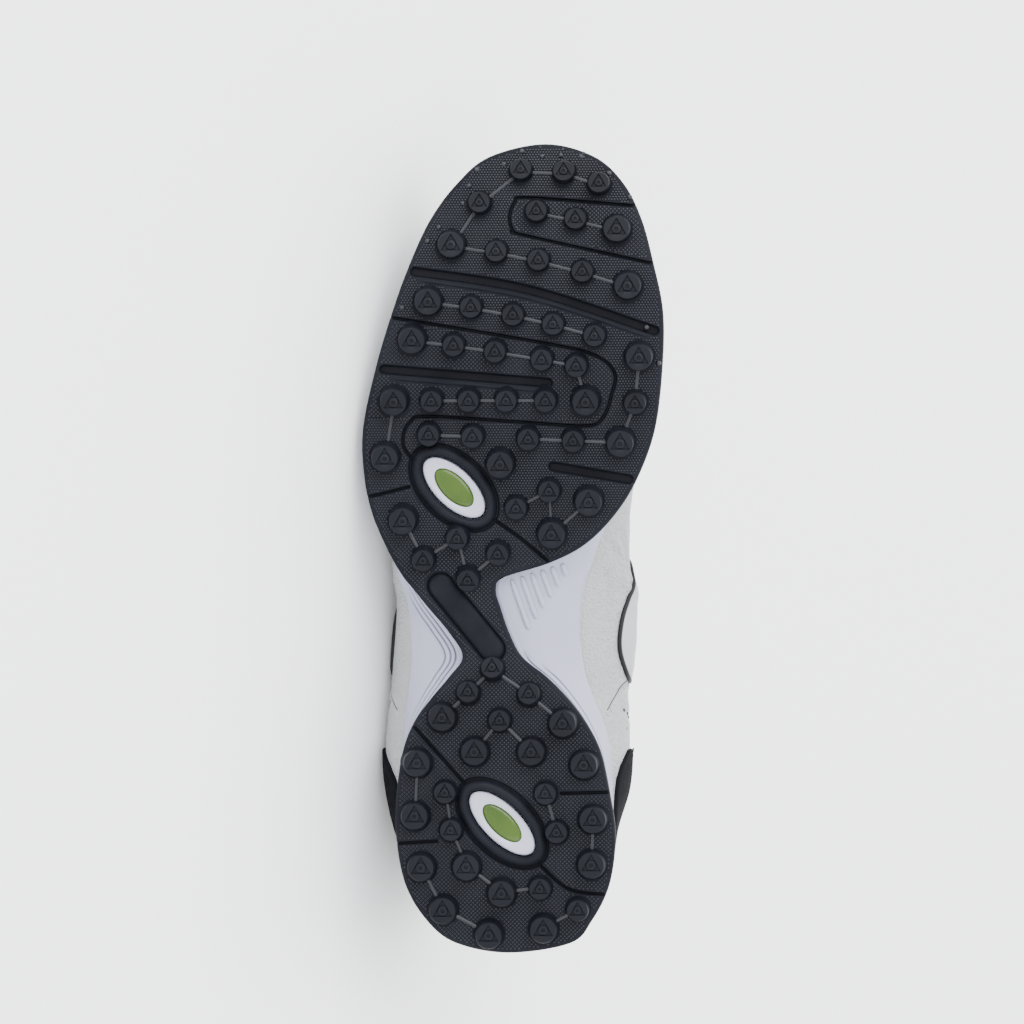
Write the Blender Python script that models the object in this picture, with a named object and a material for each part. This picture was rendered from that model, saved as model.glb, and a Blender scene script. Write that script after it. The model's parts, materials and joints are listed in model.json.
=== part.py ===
"""Turf shoe for the right foot, empty, lying on its lateral side.

The shoe is modelled standing: X lateral, Y from heel to toe, Z up, with the stud ends
on Z = 0. An empty then lays the whole shoe down on its lateral side, sole edge and
upper both on the floor, with the toe towards -X and the sole facing -Y.
"""
import math

import bmesh
import bpy
from mathutils import Matrix, Vector
from mathutils.bvhtree import BVHTree

# Main sizes of the shoe, in metres
LENGTH = 0.290
BALL_WIDTH = 0.1075
HEEL_STACK = 0.027
BALL_STACK = 0.0175
TOE_SPRING = 0.012
ARCH_LIFT = 0.003
HEEL_BEVEL = 0.0018

# Clearances between pieces
GAP = 0.0003
OVERLAY_GAP = 0.0004

# Faces flatter than this angle to each other, and points closer than this, become one
FLAT_ANGLE = math.radians(0.3)
WELD = 0.00002

# Outsole
OUTSOLE_THICKNESS = 0.0032
OUTSOLE_EDGE_ROUND = 0.0012
RIM_WALL = 0.0016
RIM_HEIGHT = 0.0016
TOE_WRAP = 0.006
TOE_WRAP_FROM = 0.88
TOE_WRAP_SPAN = 0.11
STUD_HEIGHT = 0.0055
STUD_DRAFT = 0.0008
STUD_ROOT = 0.0008
STUD_SIDES = 8
STUD_RADIUS = {"S": 0.00385, "L": 0.00485}
GROOVE_WIDTH = 0.0037
GROOVE_DEPTH = 0.0014

# Windows let into the outsole: half length, half width
WINDOW_TURN = math.radians(44)
WINDOW_LIP = 0.0046
WINDOW_LIP_CREST = 0.55
WINDOW_LIP_HEIGHT = 0.0016
WINDOW_LIP_FOOT = 0.0002
RING_PLAY = 0.0003
RING_FOOT = 0.0005
RING_HOLLOW = 0.0006
GEL_DOME = 0.0012
GEL_CREST = 0.6
WINDOW_SIDES = 16

# Midsole cooling ribs on the arch side
RIB_COUNT = 8
RIB_WIDTH = 0.0015
RIB_PROUD = 0.0009
RIB_ROOT = 0.0012
RIB_TAPER = 0.7
RIB_STOPS = 3

# Upper
WALL = 0.0022
COLLAR_PADDING = 0.0024
FEATHER_INSET = 0.0006
FEATHER_HEEL_AT = 0.0066
FEATHER_TOE_AT = 0.9934
HEEL_HEIGHT = 0.089
ANKLE_HEIGHT = 0.070
INSTEP_HEIGHT = 0.094
VAMP_HEIGHT = 0.068
COLLAR_HALF_WIDTH = 0.0345
THROAT_TOP_HALF_WIDTH = 0.0160
THROAT_END_HALF_WIDTH = 0.0110
HEEL_BELLY = 0.0022
LATERAL_LEAN = 0.011

# Overlays, tongue, insole and laces
COUNTER_THICKNESS = 0.0012
EYESTAY_THICKNESS = 0.0012
SADDLE_THICKNESS = 0.0009
TONGUE_THICKNESS = 0.0045
TONGUE_CROWN = 0.0022
TONGUE_RISE = 0.034
TONGUE_PLAY = 0.0006
TONGUE_HALF_WIDTH = 0.017
TONGUE_UPTURN = 0.45
INSOLE_THICKNESS = 0.004
INSOLE_PLAY = 0.0010
INSOLE_TAPER = 0.0030
EYELET_PAIRS = 5
EYELET_SIDES = 6
EYELET_RADIUS = 0.0021
EYELET_INSET = 0.0062
LACE_WIDTH = 0.0056
LACE_THICKNESS = 0.0014
LACE_CROWN = 0.0064
LACE_PLAY = 0.0009
LACE_STEP = 0.0006
LACE_BRINK = 0.35
LACE_TUCK = 0.34
PUNCH_REACH = 0.006

# How thick the tongue is at its two ends and at its two edges, as shares
TONGUE_END_PLUMP = 0.45
TONGUE_EDGE_PLUMP = 0.4

# Tongue: levels of its flanks on the upper's sections, shares of the length where it is
# tucked under the vamp and where it lies under the throat, and its free top as shares of
# its rise with how much it narrows.
TONGUE_LEVELS = (0.75, 0.84, 1.0)
TONGUE_TUCK = (0.735, 0.705, 0.672)
TONGUE_SPAN = (0.450, 0.640)
TONGUE_TOP = ((0.30, 0.44), (0.60, 0.45), (0.90, 0.48), (1.0, 0.60))

# Shares of the length where the form of the upper changes
COLLAR_BACK_AT = 0.035
COLLAR_DIP_AT = 0.205
THROAT_TOP_AT = 0.425
THROAT_END_AT = 0.685

# Sections from heel to toe. along is a share of the length; the others are reaches from
# the centre line, as shares of the ball width: lateral and medial edge of the outsole,
# of the feather line where upper and midsole meet, and of the widest part of the upper.
# crest is the share of the length that the section's top reaches on collar or throat.
SECTION_COLUMNS = ("along", "sole_lat", "sole_med", "feather_lat", "feather_med",
                   "belly_lat", "belly_med", "crest")
SECTIONS = (
    (0.012, 0.165, 0.215, 0.150, 0.195, 0.165, 0.212, 0.046),
    (0.040, 0.262, 0.288, 0.243, 0.270, 0.262, 0.290, 0.064),
    (0.085, 0.333, 0.347, 0.314, 0.330, 0.335, 0.349, 0.092),
    (0.145, 0.363, 0.367, 0.345, 0.352, 0.371, 0.372, 0.140),
    (0.200, 0.360, 0.347, 0.348, 0.352, 0.384, 0.410, 0.190),
    (0.249, 0.340, 0.317, 0.350, 0.345, 0.397, 0.422, 0.237),
    (0.285, 0.302, 0.267, 0.347, 0.320, 0.394, 0.424, 0.272),
    (0.315, 0.243, 0.205, 0.336, 0.287, 0.391, 0.424, 0.300),
    (0.340, 0.187, 0.137, 0.327, 0.264, 0.390, 0.424, 0.322),
    (0.365, 0.143, 0.053, 0.322, 0.251, 0.390, 0.424, 0.344),
    (0.395, 0.190, 0.010, 0.324, 0.247, 0.390, 0.424, 0.370),
    (0.425, 0.258, -0.018, 0.332, 0.250, 0.391, 0.425, 0.396),
    (0.447, 0.305, -0.033, 0.348, 0.260, 0.392, 0.428, 0.415),
    (0.462, 0.338, -0.008, 0.364, 0.270, 0.393, 0.431, 0.428),
    (0.480, 0.368, 0.145, 0.374, 0.285, 0.395, 0.435, 0.442),
    (0.503, 0.400, 0.265, 0.384, 0.306, 0.399, 0.438, 0.460),
    (0.540, 0.442, 0.365, 0.424, 0.350, 0.428, 0.446, 0.487),
    (0.585, 0.469, 0.440, 0.451, 0.422, 0.453, 0.452, 0.519),
    (0.645, 0.474, 0.498, 0.456, 0.480, 0.458, 0.484, 0.559),
    (0.720, 0.432, 0.523, 0.414, 0.505, 0.418, 0.508, 0.604),
    (0.790, 0.377, 0.525, 0.359, 0.507, 0.363, 0.510, 0.637),
    (0.850, 0.320, 0.493, 0.302, 0.475, 0.306, 0.478, 0.658),
    (0.905, 0.253, 0.453, 0.236, 0.435, 0.240, 0.439, 0.671),
    (0.950, 0.166, 0.392, 0.152, 0.374, 0.156, 0.378, 0.6795),
    (0.984, 0.058, 0.293, 0.052, 0.274, 0.055, 0.278, 0.6842),
)
HEEL_APEX = 0.010
TOE_APEX = 0.130

# Lean of the upper's sections from heel to toe: how much of the section's height the
# wall rises before it turns in, how far the shoulder stands out from the crest as a share
# of the inward reach, and how far it drops below the crest as a share of the height.
# low is by how much the lateral side is lower than the medial one.
LEAN_COLUMNS = ("along", "rise", "shoulder", "drop", "low")
LEANS = (
    (0.00, 0.36, 0.30, 0.36, 0.00),
    (0.20, 0.34, 0.30, 0.36, 0.00),
    (0.36, 0.28, 0.26, 0.36, 0.06),
    (0.48, 0.32, 0.30, 0.30, 0.34),
    (0.60, 0.42, 0.38, 0.20, 0.52),
    (0.75, 0.46, 0.44, 0.16, 0.42),
    (0.90, 0.52, 0.48, 0.12, 0.16),
    (1.00, 0.54, 0.48, 0.10, 0.00),
)

# Levels of the upper's grid, from the feather line to the crest
LEVELS = (0.0, 0.08, 0.18, 0.32, 0.48, 0.66, 0.84, 1.0)

# Rows of studs: share of the length at the row's lateral and medial end, bow of the row
# towards the toe, places across as shares of the ball width (medial is positive), sizes.
STUD_COLUMNS = ("lateral_end", "medial_end", "bow", "across", "sizes")
FOREFOOT_STUDS = (
    (0.964, 0.947, 0.007, (0.050, 0.193, 0.310), "SSS"),
    (0.923, 0.890, 0.003, (-0.087, 0.103, 0.233, 0.370), "SSSL"),
    (0.871, 0.820, 0.006, (-0.180, -0.030, 0.110, 0.257, 0.407), "LSSSL"),
    (0.801, 0.759, 0.005, (-0.255, -0.113, 0.027, 0.160, 0.297), "LSSSS"),
    (0.754, 0.722, 0.002, (-0.308, -0.170, -0.032, 0.123, 0.237), "LSSSS"),
    (0.733, 0.733, 0.0, (0.445,), "L"),
    (0.679, 0.677, 0.002, (-0.368, -0.243, -0.120, 0.005, 0.135, 0.268, 0.432), "LSSSSLS"),
    (0.638, 0.628, 0.0, (-0.252, -0.107, 0.078, 0.227, 0.383), "SSSSL"),
    (0.610, 0.602, 0.0, (-0.397, -0.015), "LL"),
    (0.569, 0.569, 0.0, (0.147,), "S"),
    (0.548, 0.556, 0.0, (0.038, 0.278), "SL"),
    (0.533, 0.516, 0.0, (-0.338, 0.155), "LL"),
    (0.511, 0.511, 0.0, (-0.158,), "S"),
    (0.485, 0.492, 0.0, (-0.270, -0.023), "SS"),
    (0.462, 0.462, 0.0, (-0.123,), "S"),
)
HEEL_STUDS = (
    (0.345, 0.345, 0.0, (-0.042,), "S"),
    (0.316, 0.314, 0.0, (-0.122, 0.080), "SS"),
    (0.286, 0.279, 0.0, (-0.207, -0.017, 0.192), "LSL"),
    (0.244, 0.244, 0.0, (-0.100, 0.088), "LL"),
    (0.230, 0.228, 0.0, (-0.290, 0.262), "LL"),
    (0.194, 0.193, 0.0, (-0.198, 0.135), "SS"),
    (0.165, 0.161, -0.025, (-0.298, -0.178, 0.172, 0.292), "LSSL"),
    (0.102, 0.106, 0.0, (-0.277, -0.127, 0.287), "LLL"),
    (0.071, 0.077, 0.0, (-0.010, 0.117), "LS"),
    (0.050, 0.051, 0.0, (-0.205, 0.242), "LS"),
    (0.020, 0.027, 0.0, (-0.053, 0.128), "LL"),
)

# Windows: centre along and across, half sizes of the white ring and of the green gel
WINDOWS = (
    {"name": "forefoot", "along": 0.573, "across": -0.170,
     "ring": (0.0140, 0.0068), "gel": (0.0086, 0.0041)},
    {"name": "heel", "along": 0.160, "across": -0.010,
     "ring": (0.0150, 0.0066), "gel": (0.0086, 0.0038)},
)

# Wide flex grooves: their points as shares of the length and of the ball width
GROOVES = (
    ((0.840, -0.307), (0.817, 0.077), (0.766, 0.503)),
    ((0.719, -0.470), (0.702, 0.143)),
    ((0.599, 0.160), (0.583, 0.430)),
)

# Lengths of the first and last cooling rib and where they start, as shares
RIB_FIRST = {"along": 0.462, "across": 0.020, "run": 0.058}
RIB_LAST = {"along": 0.478, "across": 0.205, "run": 0.022}
RIB_SLANT = 0.055

# Overlays on the upper. An outline is seen from the side: share of the length, share of
# the heel's height.
COUNTER_OUTLINE = (
    (-0.060, 0.10), (0.090, 0.10), (0.185, 0.26), (0.236, 0.40), (0.252, 0.52), (0.236, 0.62),
    (0.170, 0.67), (0.080, 0.73), (-0.060, 0.76),
)
SADDLE_OUTLINE = (
    (0.385, 0.385), (0.345, 0.45), (0.330, 0.60), (0.338, 0.78), (0.352, 0.88), (0.402, 0.90),
    (0.438, 0.84), (0.466, 0.74), (0.484, 0.62), (0.474, 0.51), (0.436, 0.42),
)
OVERLAY_FOOT = 0.03
OVERLAY_TOP = 0.90
EYESTAY_BACK = 0.452
EYESTAY_FOOT = 0.74
EYESTAY_TOP = 0.975
EYELET_FIRST_AT = 0.655
EYELET_LAST_AT = 0.468

# Colours and surfaces: red, green, blue, roughness
FINISHES = {
    "rubber": (0.015, 0.016, 0.024, 0.50),
    "foam": (0.60, 0.61, 0.74, 0.55),
    "gel": (0.13, 0.22, 0.035, 0.20),
    "leather": (0.58, 0.61, 0.65, 0.45),
    "suede": (0.007, 0.007, 0.009, 0.85),
    "textile": (0.55, 0.57, 0.60, 0.80),
}

# Densities in kg per cubic metre by broad class of material, foam counted as rubber, only
# to find how the empty shoe lies
DENSITIES = {"rubber": 1200, "foam": 1200, "gel": 1100, "leather": 900, "suede": 900,
             "textile": 300}


def clear_scene():
    """Remove every object of the open scene."""
    for thing in list(bpy.data.objects):
        bpy.data.objects.remove(thing, do_unlink=True)


def ease(value):
    """Smooth step from 0 at 0 to 1 at 1."""
    value = min(max(value, 0.0), 1.0)
    return value * value * (3.0 - 2.0 * value)


def hermite(before, start, end, after, t):
    """Point at t on the smooth curve from start to end, given their neighbours."""
    lean_in = (end - before) * 0.5
    lean_out = (after - start) * 0.5
    t2 = t * t
    t3 = t2 * t
    return (start * (2 * t3 - 3 * t2 + 1) + lean_in * (t3 - 2 * t2 + t)
            + end * (3 * t2 - 2 * t3) + lean_out * (t3 - t2))


def closed_curve(points, per_span):
    """Smooth closed curve through the points, per_span steps between two of them."""
    count = len(points)
    curve = []
    for index in range(count):
        four = [points[(index + step) % count] for step in (-1, 0, 1, 2)]
        for step in range(per_span):
            curve.append(hermite(*four, step / per_span))
    return curve


def table_value(rows, column, at):
    """Value of a column where the first column reads at, eased between the rows."""
    if at <= rows[0][0]:
        return rows[0][column]
    for lower, upper in zip(rows, rows[1:]):
        if at <= upper[0]:
            share = ease((at - lower[0]) / (upper[0] - lower[0]))
            return lower[column] + (upper[column] - lower[column]) * share
    return rows[-1][column]


def section_loop(lateral, medial, per_span=1, heel_at=0.0, toe_at=1.0):
    """Closed outline through two columns: heel apex, lateral side, toe apex, medial side."""
    lat = SECTION_COLUMNS.index(lateral)
    med = SECTION_COLUMNS.index(medial)
    heel = Vector((-HEEL_APEX * BALL_WIDTH, heel_at * LENGTH))
    toe = Vector((-TOE_APEX * BALL_WIDTH, toe_at * LENGTH))
    lateral_side = [Vector((row[lat] * BALL_WIDTH, row[0] * LENGTH)) for row in SECTIONS]
    medial_side = [Vector((-row[med] * BALL_WIDTH, row[0] * LENGTH)) for row in SECTIONS]
    points = [heel, *lateral_side, toe, *reversed(medial_side)]
    return closed_curve(points, per_span)


def outward(loop):
    """Outward normal of a closed outline at each of its points."""
    count = len(loop)
    normals = []
    for index in range(count):
        run = loop[(index + 1) % count] - loop[index - 1]
        normals.append(Vector((run.y, -run.x)).normalized())
    return normals


def inset(loop, distance):
    """The outline moved inwards by a distance."""
    return [point - normal * distance for point, normal in zip(loop, outward(loop))]


def toe_rise(share):
    """How much the sole lifts towards the toe."""
    return TOE_SPRING * max(0.0, (share - 0.70) / 0.30) ** 1.9


def base_height(y):
    """Height of the outsole's face between the studs."""
    share = y / LENGTH
    arch = ARCH_LIFT * ease((share - 0.30) / 0.09) * ease((0.49 - share) / 0.09)
    bevel = HEEL_BEVEL * max(0.0, (0.12 - share) / 0.12) ** 1.6
    return STUD_HEIGHT + arch + bevel + toe_rise(share)


def plate_height(y):
    """Height of the outsole's inner face."""
    return base_height(y) + OUTSOLE_THICKNESS


def rim_height(y):
    """Height of the outsole's rim, which climbs at the toe."""
    return plate_height(y) + RIM_HEIGHT + TOE_WRAP * ease((y / LENGTH - TOE_WRAP_FROM) / TOE_WRAP_SPAN)


def bed_height(y):
    """Height of the midsole's top."""
    share = y / LENGTH
    step = ease((share - 0.20) / 0.46)
    return HEEL_STACK + (BALL_STACK - HEEL_STACK) * step + toe_rise(share)


def lift(loop, height, extra=0.0):
    """Ring of 3-D points over an outline, at the height that a function of y gives."""
    return [Vector((point.x, point.y, height(point.y) + extra)) for point in loop]


def add_object(name, mesh, material, parent):
    """New object with its material, under the shoe's empty."""
    thing = bpy.data.objects.new(name, mesh)
    bpy.context.scene.collection.objects.link(thing)
    mesh.materials.append(bpy.data.materials[material])
    thing.parent = parent
    return thing


def mesh_from_bmesh(name, form):
    """Mesh data from a bmesh, triangulated and with its faces outwards."""
    bmesh.ops.recalc_face_normals(form, faces=form.faces)
    bmesh.ops.triangulate(form, faces=form.faces)
    mesh = bpy.data.meshes.new(name)
    form.to_mesh(mesh)
    form.free()
    mesh.shade_smooth()
    mesh.set_sharp_from_angle(angle=math.radians(32))
    return mesh


def bridge(form, lower, upper):
    """Quads between two rings of bmesh vertices."""
    count = len(lower)
    for index in range(count):
        follow = (index + 1) % count
        form.faces.new((lower[index], lower[follow], upper[follow], upper[index]))


def ladder(form, ring, span=2):
    """Close a ring with a rung from its lateral to its medial side at every span points."""
    half = len(ring) // 2
    count = len(ring)
    stops = [0, *range(span, half - span + 1, span), half]
    for lower, upper in zip(stops, stops[1:]):
        lateral = [ring[index] for index in range(lower, upper + 1)]
        medial = [ring[-index % count] for index in range(upper, lower - 1, -1)]
        form.faces.new(list(dict.fromkeys(lateral + medial)))


def stacked_rings(name, rings):
    """Closed body through rings of points, with a ladder cap at each end."""
    form = bmesh.new()
    verts = [[form.verts.new(point) for point in ring] for ring in rings]
    for lower, upper in zip(verts, verts[1:]):
        bridge(form, lower, upper)
    ladder(form, verts[0])
    ladder(form, verts[-1])
    return mesh_from_bmesh(name, form)


def join_meshes(name, parts):
    """One mesh that holds the faces of several, each its own closed body."""
    form = bmesh.new()
    for part in parts:
        form.from_mesh(part)
    return mesh_from_bmesh(name, form)


def cut_or_join(thing, tool_mesh, operation):
    """Apply a Boolean of the tool mesh to an object's mesh and clean the result."""
    tool = bpy.data.objects.new(thing.name + "_tool", tool_mesh)
    bpy.context.scene.collection.objects.link(tool)
    tool.hide_render = True
    tool.display_type = "WIRE"
    boolean = thing.modifiers.new("shape", "BOOLEAN")
    boolean.operation = operation
    boolean.object = tool
    boolean.solver = "EXACT"
    depsgraph = bpy.context.evaluated_depsgraph_get()
    result = bpy.data.meshes.new_from_object(thing.evaluated_get(depsgraph))
    thing.modifiers.remove(boolean)
    bpy.data.objects.remove(tool, do_unlink=True)
    form = bmesh.new()
    form.from_mesh(result)
    bmesh.ops.dissolve_degenerate(form, dist=WELD, edges=form.edges)
    bmesh.ops.dissolve_limit(form, angle_limit=FLAT_ANGLE, verts=form.verts, edges=form.edges)
    bmesh.ops.triangulate(form, faces=form.faces)
    form.to_mesh(result)
    form.free()
    result.name = thing.name
    result.shade_smooth()
    result.set_sharp_from_angle(angle=math.radians(32))
    thing.data = result


def oval(half_long, half_wide, steps=WINDOW_SIDES):
    """Closed oval outline turned as the windows are, round its own centre."""
    turn = Matrix.Rotation(WINDOW_TURN, 2)
    points = []
    for step in range(steps):
        angle = 2 * math.pi * step / steps
        points.append(turn @ Vector((half_long * math.cos(angle), half_wide * math.sin(angle))))
    return points


def window_outline(window, part, margin=0.0, scale=1.0):
    """Oval of a window's ring or gel in plan, widened by a margin or scaled."""
    half_long, half_wide = window[part]
    centre = place(window["across"], window["along"])
    return [centre + point for point in oval(half_long * scale + margin, half_wide * scale + margin)]


def prism(name, rings):
    """Closed body through rings of points with flat ends."""
    form = bmesh.new()
    verts = [[form.verts.new(point) for point in ring] for ring in rings]
    for lower, upper in zip(verts, verts[1:]):
        bridge(form, lower, upper)
    form.faces.new(verts[0])
    form.faces.new(verts[-1])
    return mesh_from_bmesh(name, form)


def tube(name, rings):
    """Closed body through rings where the last ring joins the first, as in a frame."""
    form = bmesh.new()
    verts = [[form.verts.new(point) for point in ring] for ring in rings]
    for lower, upper in zip(verts, verts[1:] + verts[:1]):
        bridge(form, lower, upper)
    return mesh_from_bmesh(name, form)


def place(across, along):
    """Plan point from shares of the ball width (medial positive) and of the length."""
    return Vector((-across * BALL_WIDTH, along * LENGTH))


def stud_places():
    """Plan point and size letter of every stud."""
    for line in FOREFOOT_STUDS + HEEL_STUDS:
        row = dict(zip(STUD_COLUMNS, line))
        first, last = row["across"][0], row["across"][-1]
        for spot, size in zip(row["across"], row["sizes"]):
            share = (spot - first) / (last - first) if last > first else 0.0
            along = row["lateral_end"] + (row["medial_end"] - row["lateral_end"]) * share
            yield place(spot, along + row["bow"] * 4 * share * (1 - share)), size


def stud_mesh(centre, radius):
    """One stud: a short cone with a flat end, rooted in the outsole."""
    slope = (base_height(centre.y + radius) - base_height(centre.y - radius)) / (2 * radius)
    lean = Vector((0, slope, -1)).normalized()
    seat = Vector((centre.x, centre.y, base_height(centre.y)))
    side = Vector((1, 0, 0))
    fore = side.cross(lean)
    rings = []
    for depth, reach in ((-STUD_ROOT, radius + STUD_DRAFT), (STUD_HEIGHT, radius)):
        ring = []
        for step in range(STUD_SIDES):
            angle = 2 * math.pi * (step + 0.5) / STUD_SIDES
            spoke = side * math.cos(angle) + fore * math.sin(angle)
            ring.append(seat + lean * depth + spoke * reach)
        rings.append(ring)
    return prism("stud", rings)


def groove_mesh(points):
    """Cutter of a flex groove with round ends, along a smooth line over the outsole."""
    line = [place(across, along) for along, across in points]
    if len(line) == 3:
        bend = line[1] * 2 - (line[0] + line[2]) * 0.5
        steps = 8
        line = [line[0] * (1 - t) ** 2 + bend * 2 * t * (1 - t) + line[2] * t * t
                for t in (step / steps for step in range(steps + 1))]
    half = GROOVE_WIDTH / 2
    left, right = [], []
    for index, point in enumerate(line):
        run = (line[min(index + 1, len(line) - 1)] - line[max(index - 1, 0)]).normalized()
        side = Vector((-run.y, run.x)) * half
        left.append(point + side)
        right.append(point - side)
    first = (line[1] - line[0]).normalized() * half
    last = (line[-1] - line[-2]).normalized() * half
    outline = [*left, line[-1] + last, *reversed(right), line[0] - first]
    top = lift(outline, base_height, GROOVE_DEPTH)
    below = lift(outline, base_height, -STUD_HEIGHT)
    return prism("groove", [below, top])


def build_outsole(parent):
    """Rubber outsole: plate, rim, studs, flex grooves and window lips."""
    edge = section_loop("sole_lat", "sole_med", per_span=2)
    rings = [
        lift(inset(edge, OUTSOLE_EDGE_ROUND), base_height),
        lift(edge, base_height, OUTSOLE_EDGE_ROUND),
        lift(edge, rim_height),
        lift(inset(edge, RIM_WALL), rim_height),
        lift(inset(edge, RIM_WALL), plate_height),
    ]
    outsole = add_object("outsole", stacked_rings("outsole", rings), "rubber", parent)
    cut_or_join(outsole, join_meshes("grooves", [groove_mesh(points) for points in GROOVES]),
                "DIFFERENCE")
    lips = []
    for window in WINDOWS:
        outer = window_outline(window, "ring", WINDOW_LIP)
        crest = window_outline(window, "ring", WINDOW_LIP * WINDOW_LIP_CREST)
        lips.append(prism("lip", [lift(outer, base_height, STUD_ROOT),
                                  lift(outer, base_height, -WINDOW_LIP_FOOT),
                                  lift(crest, base_height, -WINDOW_LIP_HEIGHT)]))
    cut_or_join(outsole, join_meshes("lips", lips), "UNION")
    studs = [stud_mesh(centre, STUD_RADIUS[size]) for centre, size in stud_places()]
    cut_or_join(outsole, join_meshes("studs", studs), "UNION")
    holes = []
    for window in WINDOWS:
        hole = window_outline(window, "ring", RING_PLAY)
        holes.append(prism("hole", [lift(hole, base_height, -STUD_HEIGHT),
                                    lift(hole, plate_height, STUD_ROOT)]))
    cut_or_join(outsole, join_meshes("holes", holes), "DIFFERENCE")
    return outsole


def build_windows(parent):
    """White ring and green gel of each window, seated in the outsole's hole."""
    for window in WINDOWS:
        name = window["name"]
        outer = window_outline(window, "ring")
        inner = window_outline(window, "gel", RING_PLAY)
        ring_rings = [lift(outer, plate_height), lift(outer, base_height, RING_FOOT),
                      lift(inner, base_height, RING_FOOT + RING_HOLLOW), lift(inner, plate_height)]
        add_object(name + "_window_ring", tube(name + "_ring", ring_rings), "foam", parent)
        body = window_outline(window, "gel")
        dome = window_outline(window, "gel", 0.0, GEL_CREST)
        gel_rings = [lift(body, plate_height), lift(body, base_height, RING_FOOT + GEL_DOME),
                     lift(dome, base_height, RING_FOOT)]
        add_object(name + "_window_gel", prism(name + "_gel", gel_rings), "gel", parent)


def midsole_rings():
    """Rings of the midsole: inside the outsole's rim, then out to the feather line."""
    edge = section_loop("sole_lat", "sole_med", per_span=2)
    feather = section_loop("feather_lat", "feather_med", per_span=2, heel_at=FEATHER_HEEL_AT,
                           toe_at=FEATHER_TOE_AT)
    seat = inset(edge, RIM_WALL + GAP)
    foot = lift(seat, plate_height, GAP)
    waist = lift(seat, rim_height, GAP)
    top = lift(feather, bed_height)
    middle = []
    for low, high in zip(waist, top):
        spread = Vector((high.x - low.x, high.y - low.y)).length
        middle.append(low.lerp(high, 0.5) + Vector((0, 0, -0.10 * spread)))
    return [foot, waist, middle, top]


def build_midsole(parent):
    """Foam midsole, bare at the waist, with cooling ribs under the arch."""
    midsole = add_object("midsole", stacked_rings("midsole", midsole_rings()), "foam", parent)
    surface = BVHTree.FromObject(midsole, bpy.context.evaluated_depsgraph_get())
    ribs = []
    for index in range(RIB_COUNT):
        share = index / (RIB_COUNT - 1)
        along = RIB_FIRST["along"] + (RIB_LAST["along"] - RIB_FIRST["along"]) * share
        across = RIB_FIRST["across"] + (RIB_LAST["across"] - RIB_FIRST["across"]) * share
        run = RIB_FIRST["run"] + (RIB_LAST["run"] - RIB_FIRST["run"]) * share
        rings = []
        half = RIB_WIDTH / 2
        for step in range(RIB_STOPS):
            reach = step / (RIB_STOPS - 1)
            spot = place(across + RIB_SLANT * reach * run / RIB_FIRST["run"], along - run * reach)
            hit = surface.ray_cast(Vector((spot.x, spot.y, -HEEL_STACK)), Vector((0, 0, 1)))[0]
            low, high = hit.z - RIB_PROUD, hit.z + RIB_ROOT
            rings.append([Vector((spot.x - half, spot.y, high)),
                          Vector((spot.x + half, spot.y, high)),
                          Vector((spot.x + half * RIB_TAPER, spot.y, low)),
                          Vector((spot.x - half * RIB_TAPER, spot.y, low))])
        ribs.append(prism("rib", rings))
    cut_or_join(midsole, join_meshes("ribs", ribs), "UNION")
    return midsole


def crest_height(share):
    """Height of collar and throat over the length."""
    knots = ((COLLAR_BACK_AT, HEEL_HEIGHT), (COLLAR_DIP_AT, ANKLE_HEIGHT),
             (THROAT_TOP_AT, INSTEP_HEIGHT), (THROAT_END_AT, VAMP_HEIGHT))
    if share <= THROAT_TOP_AT:
        return table_value(knots, 1, share)
    part = (share - THROAT_TOP_AT) / (THROAT_END_AT - THROAT_TOP_AT)
    return INSTEP_HEIGHT + (VAMP_HEIGHT - INSTEP_HEIGHT) * (0.25 * ease(part) + 0.75 * part)


def crest_half_width(share):
    """Half width of the opening: round collar, narrowing throat, round throat end."""
    end_round = THROAT_END_HALF_WIDTH / LENGTH
    if share < COLLAR_DIP_AT:
        part = (COLLAR_DIP_AT - share) / (COLLAR_DIP_AT - COLLAR_BACK_AT)
        return COLLAR_HALF_WIDTH * math.sqrt(max(0.0, 1.0 - part * part))
    if share < THROAT_TOP_AT:
        part = ease((share - COLLAR_DIP_AT) / (THROAT_TOP_AT - COLLAR_DIP_AT))
        return COLLAR_HALF_WIDTH + (THROAT_TOP_HALF_WIDTH - COLLAR_HALF_WIDTH) * part
    if share < THROAT_END_AT - end_round:
        part = (share - THROAT_TOP_AT) / (THROAT_END_AT - end_round - THROAT_TOP_AT)
        return THROAT_TOP_HALF_WIDTH + (THROAT_END_HALF_WIDTH - THROAT_TOP_HALF_WIDTH) * part
    part = (share - THROAT_END_AT + end_round) / end_round
    return THROAT_END_HALF_WIDTH * math.sqrt(max(0.0, 1.0 - part * part))


def instep_line(share):
    """X of the line over the instep, which swings to the big toe."""
    return -BALL_WIDTH * (0.005 + 0.06 * ease((share - 0.25) / 0.6))


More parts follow.
